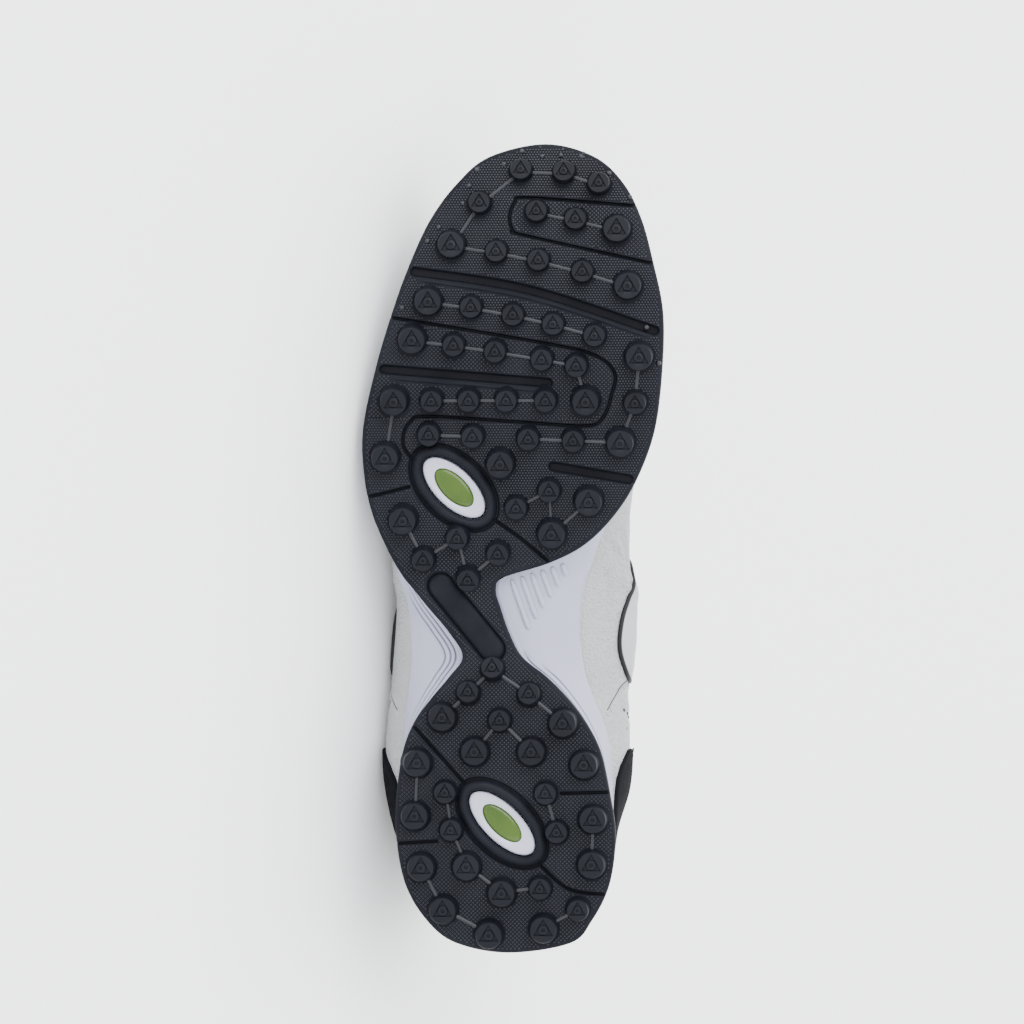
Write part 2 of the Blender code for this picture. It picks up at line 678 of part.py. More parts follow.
class UpperForm:
    """Outer face of the upper as a grid, stations round the shoe by levels up the wall."""

    def __init__(self):
        feather = section_loop("feather_lat", "feather_med", heel_at=FEATHER_HEEL_AT, toe_at=FEATHER_TOE_AT)
        foot = inset(feather, FEATHER_INSET)
        self.count = len(foot)
        self.half = self.count // 2
        directions = outward(feather)
        self.outer = []
        self.crests = []
        for index, (point, direction) in enumerate(zip(foot, directions)):
            crest, share, belly = self.section_at(index)
            self.crests.append(share)
            start = Vector((point.x, point.y, bed_height(point.y) + GAP))
            self.outer.append(self.profile(start, crest, direction, belly, index < self.half))
        self.normals = [[self.normal(i, k) for k in range(len(LEVELS))] for i in range(self.count)]

    def section_at(self, index):
        """Crest point, its share of the length, and the belly of one station."""
        if index == 0:
            share, side, belly = COLLAR_BACK_AT, 0, HEEL_BELLY
        elif index == self.half:
            share, side, belly = THROAT_END_AT, 0, 0.0
        else:
            lateral = index < self.half
            row = SECTIONS[(index if lateral else self.count - index) - 1]
            values = dict(zip(SECTION_COLUMNS, row))
            side = 1 if lateral else -1
            tail = "lat" if lateral else "med"
            belly = (values["belly_" + tail] - values["feather_" + tail]) * BALL_WIDTH
            share = values["crest"]
        x = instep_line(share) + side * crest_half_width(share)
        return Vector((x, share * LENGTH, crest_height(share))), share, belly

    def profile(self, start, crest, direction, belly, lateral):
        """Points of one section, from the feather line to the crest."""
        share = start.y / LENGTH
        lean = {name: table_value(LEANS, column, share) for column, name in enumerate(LEAN_COLUMNS)}
        low = lean["low"] if lateral else 0.0
        rise = lean["rise"] * (1 - low)
        shoulder = lean["shoulder"] * (1 - low)
        drop = lean["drop"]
        height = crest.z - start.z
        out = Vector((direction.x, direction.y, 0))
        inward = max(0.0, (start - crest).dot(out))
        first = start + out * (1.25 * belly - LATERAL_LEAN * low) + Vector((0, 0, rise * height))
        second = crest + out * (shoulder * inward + 1.4 * belly) - Vector((0, 0, drop * height))
        points = []
        for t in LEVELS:
            s = 1 - t
            points.append(start * s ** 3 + first * 3 * t * s * s
                          + second * 3 * t * t * s + crest * t ** 3)
        return points

    def normal(self, i, k):
        """Outward normal of the grid; level with the floor at the feather line."""
        around = self.outer[(i + 1) % self.count][k] - self.outer[i - 1][k]
        up = self.outer[i][min(k + 1, len(LEVELS) - 1)] - self.outer[i][max(k - 1, 0)]
        true = around.cross(up).normalized()
        level = Vector((around.y, -around.x, 0)).normalized()
        share = ease(LEVELS[k] / LEVELS[2])
        return level.lerp(true, share).normalized()

    def wall(self, i, k):
        """Thickness of the wall, padded at the collar."""
        collar = ease((THROAT_TOP_AT - 0.02 - self.crests[i]) / 0.09)
        return WALL + COLLAR_PADDING * collar * ease((LEVELS[k] - 0.45) / 0.35)

    def at(self, station, level, offset=0.0):
        """Point of the faceted grid at any station and level, moved out by offset."""
        i = math.floor(station)
        part = station - i
        i %= self.count
        j = (i + 1) % self.count
        k = max(index for index, value in enumerate(LEVELS[:-1]) if value <= level)
        rise = (level - LEVELS[k]) / (LEVELS[k + 1] - LEVELS[k])
        low = self.outer[i][k].lerp(self.outer[j][k], part)
        high = self.outer[i][k + 1].lerp(self.outer[j][k + 1], part)
        lean = self.normals[i][k].lerp(self.normals[j][k], part)
        lean_high = self.normals[i][k + 1].lerp(self.normals[j][k + 1], part)
        return low.lerp(high, rise) + lean.lerp(lean_high, rise).normalized() * offset

    def station(self, share, side, column="along"):
        """Station whose section stands at a share of the length; side 1 lateral, -1 medial."""
        shares = [0.0] + [row[SECTION_COLUMNS.index(column)] for row in SECTIONS] + [1.0]
        if column == "crest":
            shares[0], shares[-1] = COLLAR_BACK_AT, THROAT_END_AT
        index = max(i for i, value in enumerate(shares[:-1]) if value <= share)
        part = (share - shares[index]) / (shares[index + 1] - shares[index])
        return index + part if side > 0 else self.count - index - part


def build_upper(form, parent):
    """Hollow leather upper, open at the collar, the throat and underneath."""
    mesh = bmesh.new()
    outer = [[mesh.verts.new(point) for point in column] for column in form.outer]
    inner = []
    for i in range(form.count):
        inner.append([mesh.verts.new(form.outer[i][k] - form.normals[i][k] * form.wall(i, k))
                      for k in range(len(LEVELS))])
    last = len(LEVELS) - 1
    for i in range(form.count):
        j = (i + 1) % form.count
        for k in range(last):
            mesh.faces.new((outer[i][k], outer[j][k], outer[j][k + 1], outer[i][k + 1]))
            mesh.faces.new((inner[i][k], inner[i][k + 1], inner[j][k + 1], inner[j][k]))
        mesh.faces.new((outer[i][0], inner[i][0], inner[j][0], outer[j][0]))
        mesh.faces.new((outer[i][last], outer[j][last], inner[j][last], inner[i][last]))
    return add_object("upper", mesh_from_bmesh("upper", mesh), "leather", parent)


def patch(name, form, stations, foot, top, thickness):
    """Overlay on the upper between two levels, its facets parallel to the upper's own."""
    levels = [foot, *(level for level in LEVELS if foot + 0.02 < level < top - 0.02), top]
    mesh = bmesh.new()
    faces_in, faces_out = [], []
    for station in stations:
        faces_in.append([mesh.verts.new(form.at(station, level, OVERLAY_GAP)) for level in levels])
        faces_out.append([mesh.verts.new(form.at(station, level, OVERLAY_GAP + thickness))
                          for level in levels])
    last = len(stations) - 1
    steps = len(levels) - 1
    for i in range(last):
        for k in range(steps):
            mesh.faces.new((faces_out[i][k], faces_out[i + 1][k],
                            faces_out[i + 1][k + 1], faces_out[i][k + 1]))
            mesh.faces.new((faces_in[i][k], faces_in[i][k + 1],
                            faces_in[i + 1][k + 1], faces_in[i + 1][k]))
        for k in (0, steps):
            mesh.faces.new((faces_out[i][k], faces_out[i + 1][k], faces_in[i + 1][k], faces_in[i][k]))
    for i in (0, last):
        for k in range(steps):
            mesh.faces.new((faces_out[i][k], faces_out[i][k + 1], faces_in[i][k + 1], faces_in[i][k]))
    return mesh_from_bmesh(name, mesh)


def station_run(start, end):
    """Stations from start to end: the ends and every whole station between them."""
    whole = [float(index) for index in range(math.ceil(start + 0.15), math.floor(end - 0.15) + 1)]
    return [start, *whole, end]


def whole_stations(form, outline, side):
    """Whole stations just past both ends of an outline seen from the side."""
    shares = [min(max(along, 0.0), 1.0) for along, _ in outline]
    ends = sorted(form.station(share, side) for share in (min(shares), max(shares)))
    return math.floor(ends[0]), math.ceil(ends[1])


def trim_from_side(thing, outline, per_span=2):
    """Keep what lies inside an outline seen from the side."""
    points = [Vector((share * LENGTH, rise * HEEL_HEIGHT)) for share, rise in outline]
    curve = closed_curve(points, per_span)
    rings = [[Vector((x, point.x, point.y)) for point in curve] for x in (-BALL_WIDTH, BALL_WIDTH)]
    cut_or_join(thing, prism("trim", rings), "INTERSECT")


def build_counter(form, parent):
    """Suede heel counter that wraps the heel."""
    _, front = whole_stations(form, COUNTER_OUTLINE, 1)
    mesh = patch("heel_counter", form, station_run(-front, front), OVERLAY_FOOT, OVERLAY_TOP,
                 COUNTER_THICKNESS)
    counter = add_object("heel_counter", mesh, "suede", parent)
    trim_from_side(counter, COUNTER_OUTLINE)


def build_saddles(form, parent):
    """Plain overlay on each side between sole and eyestay."""
    for name, side in (("saddle_lateral", 1), ("saddle_medial", -1)):
        stations = station_run(*whole_stations(form, SADDLE_OUTLINE, side))
        mesh = patch(name, form, stations, OVERLAY_FOOT, OVERLAY_TOP, SADDLE_THICKNESS)
        saddle = add_object(name, mesh, "leather", parent)
        trim_from_side(saddle, SADDLE_OUTLINE)


def eyelet_frames(form):
    """Centre and normal of each eyelet, with the throat edge beside it, front to top."""
    pairs = []
    for index in range(EYELET_PAIRS):
        share = EYELET_FIRST_AT + (EYELET_LAST_AT - EYELET_FIRST_AT) * index / (EYELET_PAIRS - 1)
        pair = []
        for side in (1, -1):
            station = form.station(share, side, "crest")
            edge = form.at(station, 1.0)
            level = 1.0
            while (form.at(station, level) - edge).length < EYELET_INSET:
                level -= 0.005
            centre = form.at(station, level)
            normal = (form.at(station, level, 0.01) - centre).normalized()
            pair.append((centre, normal, edge))
        pairs.append(pair)
    return pairs


def build_eyestay(form, upper, parent):
    """Overlay round the throat, with eyelets punched through it and the upper."""
    lateral = form.station(EYESTAY_BACK, 1, "crest")
    medial = form.station(EYESTAY_BACK, -1, "crest")
    mesh = patch("eyestay", form, station_run(lateral, medial), EYESTAY_FOOT, EYESTAY_TOP,
                 EYESTAY_THICKNESS)
    eyestay = add_object("eyestay", mesh, "leather", parent)
    punches = []
    for pair in eyelet_frames(form):
        for centre, normal, _ in pair:
            side = normal.orthogonal().normalized()
            fore = normal.cross(side)
            rings = []
            for depth in (-PUNCH_REACH, PUNCH_REACH):
                rings.append([centre + normal * depth
                              + (side * math.cos(2 * math.pi * step / EYELET_SIDES)
                                 + fore * math.sin(2 * math.pi * step / EYELET_SIDES)) * EYELET_RADIUS
                              for step in range(EYELET_SIDES)])
            punches.append(prism("punch", rings))
    cut_or_join(upper, join_meshes("punches", punches), "DIFFERENCE")
    cut_or_join(eyestay, join_meshes("punches", punches), "DIFFERENCE")
    return eyestay


def tongue_row(form, share):
    """Points across the tongue under the throat, from the lateral to the medial edge."""
    depth = -(WALL + TONGUE_PLAY)
    lateral = form.station(share, 1, "crest")
    medial = form.station(share, -1, "crest")
    left = [form.at(lateral, level, depth) for level in TONGUE_LEVELS]
    right = [form.at(medial, level, depth) for level in reversed(TONGUE_LEVELS)]
    up = (form.at(lateral, 1.0, 0.01) - form.at(lateral, 1.0)
          + form.at(medial, 1.0, 0.01) - form.at(medial, 1.0)).normalized()
    crown = []
    for step in (0.25, 0.5, 0.75):
        crown.append(left[-1].lerp(right[0], step) + up * TONGUE_CROWN * 4 * step * (1 - step))
    return [*left, *crown, *right], up


def tucked_row(surface, share):
    """Points across the tongue where it runs on under the vamp."""
    points = []
    for step in range(-4, 5):
        x = instep_line(share) - TONGUE_HALF_WIDTH * step / 4
        y = share * LENGTH
        hit = surface.ray_cast(Vector((x, y, bed_height(y) + 0.01)), Vector((0, 0, 1)))[0]
        height = hit.z if hit else crest_height(share) - WALL
        points.append(Vector((x, y, height - TONGUE_PLAY * 2)))
    return points, Vector((0, 0, 1))


def build_tongue(form, upper, parent):
    """Padded tongue under the throat, standing up past the top eyelets."""
    surface = BVHTree.FromObject(upper, bpy.context.evaluated_depsgraph_get())
    rows = [tucked_row(surface, share) for share in TONGUE_TUCK]
    crest = SECTION_COLUMNS.index("crest")
    shares = [row[crest] for row in SECTIONS if TONGUE_SPAN[0] < row[crest] < TONGUE_SPAN[1]]
    rows += [tongue_row(form, share) for share in reversed(shares)]
    points, up = rows[-1]
    middle = points[len(points) // 2]
    climb = (middle - rows[-2][0][len(points) // 2]).normalized() + Vector((0, 0, TONGUE_UPTURN))
    climb.normalize()
    for reach, narrow in TONGUE_TOP:
        moved = [point.lerp(middle, narrow) + climb * TONGUE_RISE * reach - up * TONGUE_PLAY
                 for point in points]
        rows.append((moved, up))
    mesh = bmesh.new()
    top, bottom = [], []
    for index, (points, up) in enumerate(rows):
        plump = TONGUE_THICKNESS * (TONGUE_END_PLUMP if index in (0, len(rows) - 1) else 1.0)
        ring_top, ring_bottom = [], []
        count = len(points)
        for step, point in enumerate(points):
            across = points[min(step + 1, count - 1)] - points[max(step - 1, 0)]
            along = rows[min(index + 1, len(rows) - 1)][0][step] - rows[max(index - 1, 0)][0][step]
            lean = along.cross(across).normalized()
            if lean.dot(up) < 0:
                lean = -lean
            thick = plump * (TONGUE_EDGE_PLUMP if step in (0, count - 1) else 1.0)
            ring_top.append(mesh.verts.new(point))
            ring_bottom.append(mesh.verts.new(point - lean * thick))
        top.append(ring_top)
        bottom.append(ring_bottom)
    last = len(rows) - 1
    width = len(top[0]) - 1
    for i in range(last):
        for k in range(width):
            mesh.faces.new((top[i][k], top[i + 1][k], top[i + 1][k + 1], top[i][k + 1]))
            mesh.faces.new((bottom[i][k], bottom[i][k + 1], bottom[i + 1][k + 1], bottom[i + 1][k]))
        for k in (0, width):
            mesh.faces.new((top[i][k], top[i + 1][k], bottom[i + 1][k], bottom[i][k]))
    for i in (0, last):
        for k in range(width):
            mesh.faces.new((top[i][k], top[i][k + 1], bottom[i][k + 1], bottom[i][k]))
    add_object("tongue", mesh_from_bmesh("tongue", mesh), "textile", parent)


def build_insole(form, parent):
    """Removable footbed inside the upper."""
    wall = [Vector((form.outer[i][0].x, form.outer[i][0].y)) for i in range(form.count)]
    rings = []
    for rise in (0.0, 0.5, 1.0):
        edge = inset(wall, WALL + INSOLE_PLAY + INSOLE_TAPER * rise)
        rings.append(lift(edge, bed_height, GAP + INSOLE_THICKNESS * rise))
    add_object("insole", stacked_rings("insole", rings), "textile", parent)


def strap(name, stops, steps=2):
    """Flat lace through stops of (point, outward normal), arched over the tongue."""
    across = (stops[-1][0] - stops[0][0]).normalized()
    up = (stops[0][1] + stops[-1][1]).normalized()
    side = up.cross(across).normalized() * (LACE_WIDTH / 2)
    rings = []
    last = len(stops) - 1
    for span in range(last):
        four = [stops[min(max(span + step, 0), last)] for step in (-1, 0, 1, 2)]
        for step in range(steps + (span == last - 1)):
            middle = hermite(*(stop[0] for stop in four), step / steps)
            lean = hermite(*(stop[1] for stop in four), step / steps).normalized()
            rings.append([middle - side, middle + side, middle + side + lean * LACE_THICKNESS,
                          middle - side + lean * LACE_THICKNESS])
    return prism(name, rings)


def build_laces(form, parent):
    """Crossings of the lace, each one solid where its two runs meet."""
    rest = EYESTAY_THICKNESS + OVERLAY_GAP + LACE_PLAY
    pairs = []
    for pair in eyelet_frames(form):
        middle = (pair[0][2] + pair[1][2]) / 2
        up = (pair[0][1] + pair[1][1]).normalized()
        stops = []
        for centre, normal, edge in pair:
            hole = (centre + normal * rest, normal)
            brink = (edge + normal.lerp(up, LACE_BRINK) * rest, normal.lerp(up, 0.5))
            tuck = (edge.lerp(middle, LACE_TUCK) + up * LACE_PLAY, up)
            stops.append((hole, brink, tuck))
        pairs.append((stops, middle, up))
    for index in range(EYELET_PAIRS - 1):
        name = "lace_cross_" + str(index + 1)
        near, near_middle, near_up = pairs[index]
        far, far_middle, far_up = pairs[index + 1]
        up = (near_up + far_up).normalized()
        middle = (near_middle + far_middle) / 2
        halves = []
        for side in (0, 1):
            top = (middle + up * (LACE_CROWN + LACE_STEP * side), up)
            halves.append(strap(name, [near[side][0], near[side][1], top, far[1 - side][2]]))
        crossing = add_object(name, halves[0], "textile", parent)
        cut_or_join(crossing, halves[1], "UNION")


def make_materials():
    """One Principled material for each finish."""
    for name, (red, green, blue, roughness) in FINISHES.items():
        material = bpy.data.materials.new(name)
        material.use_nodes = True
        shader = material.node_tree.nodes["Principled BSDF"]
        shader.inputs["Base Color"].default_value = (red, green, blue, 1.0)
        shader.inputs["Roughness"].default_value = roughness
        shader.inputs["Metallic"].default_value = 0.0


def balance_point(pieces):
    """Centre of mass of the pieces, each with its material's density."""
    total, moment = 0.0, Vector((0, 0, 0))
    for piece in pieces:
        form = bmesh.new()
        form.from_mesh(piece.data)
        bmesh.ops.triangulate(form, faces=form.faces)
        density = DENSITIES[piece.data.materials[0].name]
        for face in form.faces:
            a, b, c = (vert.co for vert in face.verts)
            weight = a.dot(b.cross(c)) / 6.0 * density
            total += weight
            moment += weight * (a + b + c) / 4.0
        form.free()
    return moment / total


def resting_normal(pieces):
    """Outward normal of the hull facet on the lateral side that the shoe lies on."""
    hull = bmesh.new()
    for piece in pieces:
        for vert in piece.data.vertices:
            hull.verts.new(vert.co)
    bmesh.ops.convex_hull(hull, input=hull.verts)
    hull.faces.ensure_lookup_table()
    centre = balance_point(pieces)
    best = None
    for face in hull.faces:
        normal = face.normal
        if normal.x < 0.6:
            continue
        height = (face.verts[0].co - centre).dot(normal)
        foot = centre + normal * height
        corners = [vert.co for vert in face.verts]
        inside = all((b - a).cross(foot - a).dot(normal) >= 0
                     for a, b in zip(corners, corners[1:] + corners[:1]))
        if inside and (best is None or height < best[0]):
            best = (height, normal.copy())
    hull.free()
    return best[1]


def lay_down(stand, pieces):
    """Turn the shoe's empty so that the shoe lies on its lateral side over the origin."""
    down = resting_normal(pieces)
    toe = Vector((0, 1, 0))
    row_x = -(toe - down * toe.dot(down)).normalized()
    row_z = -down
    row_y = row_z.cross(row_x)
    turn = Matrix((row_x, row_y, row_z))
    corners = [turn @ vert.co for piece in pieces for vert in piece.data.vertices]
    low = [min(corner[axis] for corner in corners) for axis in range(3)]
    high = [max(corner[axis] for corner in corners) for axis in range(3)]
    shift = Vector((-(low[0] + high[0]) / 2, -(low[1] + high[1]) / 2, -low[2]))
    stand.matrix_world = Matrix.Translation(shift) @ turn.to_4x4()


def main():
    """Build the shoe standing, then lay it down."""
    clear_scene()
    make_materials()
    stand = bpy.data.objects.new("shoe_stand", None)
    bpy.context.scene.collection.objects.link(stand)
    build_outsole(stand)
    build_windows(stand)
    build_midsole(stand)
    form = UpperForm()
    upper = build_upper(form, stand)
    build_counter(form, stand)
    build_saddles(form, stand)
    build_eyestay(form, upper, stand)
    build_tongue(form, upper, stand)
    build_insole(form, stand)
    build_laces(form, stand)
    lay_down(stand, [thing for thing in bpy.data.objects if thing.type == "MESH"])
    bpy.context.view_layer.update()


main()
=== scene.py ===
"""Looks of the turf shoe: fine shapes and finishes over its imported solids.

Each piece is shaped in the shoe's own standing frame (X lateral, Y towards the toe, Z up,
stud ends on Z = 0) and then laid down into the row frame, where the shoe rests on its
lateral side.
"""

import json
import logging
import math
from dataclasses import dataclass, field
from enum import Enum
from typing import Iterable, Sequence

import bpy
import numpy as np
from mathutils import Matrix, Vector
from mathutils.bvhtree import BVHTree
from mathutils.geometry import delaunay_2d_cdt


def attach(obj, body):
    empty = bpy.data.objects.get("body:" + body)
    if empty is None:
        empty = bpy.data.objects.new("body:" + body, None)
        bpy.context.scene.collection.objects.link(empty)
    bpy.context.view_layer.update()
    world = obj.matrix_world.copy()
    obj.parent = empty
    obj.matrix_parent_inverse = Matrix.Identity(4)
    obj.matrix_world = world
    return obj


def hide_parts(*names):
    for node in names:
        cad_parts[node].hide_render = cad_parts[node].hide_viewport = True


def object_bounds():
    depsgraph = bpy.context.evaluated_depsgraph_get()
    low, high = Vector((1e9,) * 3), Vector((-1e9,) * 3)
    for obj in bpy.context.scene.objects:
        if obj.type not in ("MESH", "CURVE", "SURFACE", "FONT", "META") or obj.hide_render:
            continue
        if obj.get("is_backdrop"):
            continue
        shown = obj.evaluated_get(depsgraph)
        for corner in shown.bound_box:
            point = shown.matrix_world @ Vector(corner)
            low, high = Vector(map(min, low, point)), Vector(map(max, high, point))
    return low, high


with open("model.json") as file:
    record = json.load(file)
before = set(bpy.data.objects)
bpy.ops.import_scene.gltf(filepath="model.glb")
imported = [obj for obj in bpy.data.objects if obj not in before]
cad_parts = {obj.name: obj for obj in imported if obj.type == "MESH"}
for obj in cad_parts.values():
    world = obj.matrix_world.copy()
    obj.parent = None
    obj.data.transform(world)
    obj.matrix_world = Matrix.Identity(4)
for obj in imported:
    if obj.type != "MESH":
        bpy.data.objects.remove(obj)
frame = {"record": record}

LOG = logging.getLogger("turf_shoe")
MM = 0.001

# Sections of the last from heel to toe. along is a share of the length; the others are
# reaches from the centre line as shares of the ball width: edges of the outsole, of the
# feather line and of the widest part of the upper. crest is the share of the length that
# the section's top reaches on collar or throat.
SECTION_COLUMNS = ("along", "sole_lat", "sole_med", "feather_lat", "feather_med",
                   "belly_lat", "belly_med", "crest")
SECTIONS = np.array((
    (0.012, 0.165, 0.215, 0.150, 0.195, 0.165, 0.212, 0.046),
    (0.040, 0.262, 0.288, 0.243, 0.270, 0.262, 0.290, 0.064),
    (0.085, 0.333, 0.347, 0.314, 0.330, 0.335, 0.349, 0.092),
    (0.145, 0.363, 0.367, 0.345, 0.352, 0.371, 0.372, 0.140),
    (0.200, 0.360, 0.347, 0.348, 0.352, 0.384, 0.410, 0.190),
    (0.249, 0.340, 0.317, 0.350, 0.345, 0.397, 0.422, 0.237),
    (0.285, 0.302, 0.267, 0.347, 0.320, 0.394, 0.424, 0.272),
    (0.315, 0.243, 0.205, 0.336, 0.287, 0.391, 0.424, 0.300),
    (0.340, 0.187, 0.137, 0.327, 0.264, 0.390, 0.432, 0.322),
    (0.365, 0.143, 0.053, 0.322, 0.251, 0.390, 0.436, 0.344),
    (0.395, 0.190, 0.010, 0.324, 0.247, 0.390, 0.448, 0.370),
    (0.425, 0.258, -0.018, 0.332, 0.250, 0.391, 0.457, 0.396),
    (0.447, 0.305, -0.033, 0.348, 0.260, 0.392, 0.468, 0.415),
    (0.462, 0.338, -0.008, 0.364, 0.270, 0.393, 0.475, 0.428),
    (0.480, 0.368, 0.145, 0.374, 0.285, 0.395, 0.487, 0.442),
    (0.503, 0.400, 0.265, 0.384, 0.306, 0.399, 0.478, 0.460),
    (0.540, 0.442, 0.365, 0.424, 0.350, 0.428, 0.482, 0.487),
    (0.585, 0.469, 0.440, 0.451, 0.422, 0.453, 0.468, 0.519),
    (0.645, 0.474, 0.498, 0.456, 0.480, 0.458, 0.484, 0.559),
    (0.720, 0.432, 0.523, 0.414, 0.505, 0.418, 0.508, 0.604),
    (0.790, 0.377, 0.525, 0.359, 0.507, 0.363, 0.510, 0.637),
    (0.850, 0.320, 0.493, 0.302, 0.475, 0.306, 0.478, 0.658),
    (0.905, 0.253, 0.453, 0.236, 0.435, 0.240, 0.439, 0.671),
    (0.950, 0.166, 0.392, 0.152, 0.374, 0.156, 0.378, 0.6795),
    (0.984, 0.058, 0.293, 0.052, 0.274, 0.055, 0.278, 0.6842),
))

# Lean of the upper's sections: how much of its height the wall rises before it turns in,
# how far the shoulder stands out, how far it drops, and how much lower the lateral side is.
LEAN_COLUMNS = ("along", "rise", "shoulder", "drop", "low")
LEANS = np.array((
    (0.00, 0.36, 0.30, 0.36, 0.00),
    (0.20, 0.34, 0.30, 0.36, 0.00),
    (0.36, 0.28, 0.26, 0.36, 0.06),
    (0.48, 0.32, 0.30, 0.30, 0.34),
    (0.60, 0.42, 0.38, 0.20, 0.52),
    (0.75, 0.46, 0.44, 0.16, 0.42),
    (0.90, 0.52, 0.48, 0.12, 0.16),
    (1.00, 0.54, 0.48, 0.10, 0.00),
))

# Rows of studs: share of the length at the row's lateral and medial end, bow towards the
# toe, places across as shares of the ball width (medial is positive), sizes.
STUD_COLUMNS = ("lateral_end", "medial_end", "bow", "across", "sizes")
FOREFOOT_STUDS = (
    (0.964, 0.947, 0.007, (0.050, 0.193, 0.310), "SSS"),
    (0.923, 0.890, 0.003, (-0.087, 0.103, 0.233, 0.370), "SSSL"),
    (0.871, 0.820, 0.006, (-0.180, -0.030, 0.110, 0.257, 0.407), "LSSSL"),
    (0.801, 0.759, 0.005, (-0.255, -0.113, 0.027, 0.160, 0.297), "LSSSS"),
    (0.754, 0.722, 0.002, (-0.308, -0.170, -0.032, 0.123, 0.237), "LSSSS"),
    (0.733, 0.733, 0.0, (0.445,), "L"),
    (0.679, 0.677, 0.002, (-0.368, -0.243, -0.120, 0.005, 0.135, 0.268, 0.432), "LSSSSLS"),
    (0.638, 0.628, 0.0, (-0.252, -0.107, 0.078, 0.227, 0.383), "SSSSL"),
    (0.610, 0.602, 0.0, (-0.397, -0.015), "LL"),
    (0.569, 0.569, 0.0, (0.147,), "S"),
    (0.548, 0.556, 0.0, (0.038, 0.278), "SL"),
    (0.533, 0.516, 0.0, (-0.338, 0.155), "LL"),
    (0.511, 0.511, 0.0, (-0.158,), "S"),
    (0.485, 0.492, 0.0, (-0.270, -0.023), "SS"),
    (0.462, 0.462, 0.0, (-0.123,), "S"),
)
HEEL_STUDS = (
    (0.345, 0.345, 0.0, (-0.042,), "S"),
    (0.316, 0.314, 0.0, (-0.122, 0.080), "SS"),
    (0.286, 0.279, 0.0, (-0.207, -0.017, 0.192), "LSL"),
    (0.244, 0.244, 0.0, (-0.100, 0.088), "LL"),
    (0.230, 0.228, 0.0, (-0.290, 0.262), "LL"),
    (0.194, 0.193, 0.0, (-0.198, 0.135), "SS"),
    (0.165, 0.161, -0.025, (-0.298, -0.178, 0.172, 0.292), "LSSL"),
    (0.102, 0.106, 0.0, (-0.277, -0.127, 0.287), "LLL"),
    (0.071, 0.077, 0.0, (-0.010, 0.117), "LS"),
    (0.050, 0.051, 0.0, (-0.205, 0.242), "LS"),
    (0.020, 0.027, 0.0, (-0.053, 0.128), "LL"),
)

# Thin ribs between two studs, numbered in the order of the rows above
FOREFOOT_LINKS = (
    (1, 2), (2, 3), (1, 4), (4, 8), (5, 6), (6, 7), (8, 9), (9, 10), (10, 11), (11, 12),
    (13, 14), (14, 15), (15, 16), (16, 17), (18, 19), (19, 20), (20, 21), (21, 22), (22, 29),
    (23, 30), (30, 35), (25, 26), (26, 27), (27, 28), (24, 36), (31, 32), (33, 34), (34, 35),
    (38, 39), (38, 42), (40, 42), (41, 44), (43, 44), (43, 46), (45, 46),
)
HEEL_LINKS = (
    (1, 3), (1, 2), (3, 6), (2, 4), (5, 7), (5, 8), (9, 13), (11, 14), (12, 15), (16, 19),
    (14, 18), (17, 22), (18, 20), (20, 21), (22, 24), (25, 23),
)

# Small bumps along the toe's edge, as shares (along, across)
TOE_NUBS = (
    (0.990, 0.053), (0.984, 0.120), (0.985, 0.183), (0.983, 0.250), (0.974, -0.007),
    (0.967, -0.097), (0.947, -0.123), (0.925, -0.143), (0.895, -0.223), (0.878, -0.260),
    (0.962, 0.343), (0.932, 0.413), (0.795, -0.343), (0.770, 0.470), (0.726, 0.510),
)

# More of them on the rounded edge in front of the toe
TOE_RIM_NUBS = ((0.9955, 0.113), (0.9930, 0.190), (0.9870, 0.257))

# Wide flex grooves and thin panel grooves in the rubber, as shares (along, across)
WIDE_GROOVES = (
    ((0.840, -0.303), (0.817, 0.077), (0.766, 0.497)),
    ((0.719, -0.403), (0.702, 0.143)),
    ((0.599, 0.160), (0.583, 0.412)),
)
THIN_GROOVES = (
    ((0.918, 0.520), (0.921, 0.437), (0.932, 0.075), (0.926, 0.030), (0.908, 0.013),
     (0.891, 0.024), (0.885, 0.060), (0.850, 0.480), (0.846, 0.540)),
    ((0.787, -0.460), (0.783, -0.380), (0.751, 0.130), (0.736, 0.297), (0.714, 0.364),
     (0.686, 0.353), (0.660, 0.327), (0.649, 0.273), (0.653, 0.077), (0.661, -0.255),
     (0.654, -0.315), (0.638, -0.338), (0.620, -0.333), (0.600, -0.285)),
    ((0.543, -0.075), (0.514, 0.040), (0.480, 0.152), (0.470, 0.190)),
    ((0.561, -0.500), (0.563, -0.440), (0.574, -0.320)),
    ((0.292, -0.330), (0.281, -0.307), (0.203, -0.120)),
    ((0.117, 0.095), (0.090, 0.170), (0.077, 0.230), (0.073, 0.333), (0.073, 0.400)),
    ((0.135, -0.400), (0.135, -0.353), (0.138, -0.227)),
    ((0.197, 0.187), (0.199, 0.400)),
)
# Panels with a fine knurl in place of the hexagonal pips
PANELS = (
    ((0.916, 0.600), (0.930, 0.067), (0.910, 0.015), (0.887, 0.050), (0.848, 0.600)),
    ((0.783, -0.600), (0.751, 0.130), (0.734, 0.297), (0.712, 0.360), (0.686, 0.349),
     (0.662, 0.323), (0.653, 0.077), (0.661, -0.600)),
)


def ease(value: np.ndarray | float) -> np.ndarray:
    """Smooth step from 0 at 0 to 1 at 1."""
    value = np.clip(value, 0.0, 1.0)
    return value * value * (3.0 - 2.0 * value)


def unit(vectors: np.ndarray) -> np.ndarray:
    """The vectors at length 1."""
    length = np.linalg.norm(vectors, axis=-1, keepdims=True)
    return vectors / np.maximum(length, 1e-12)


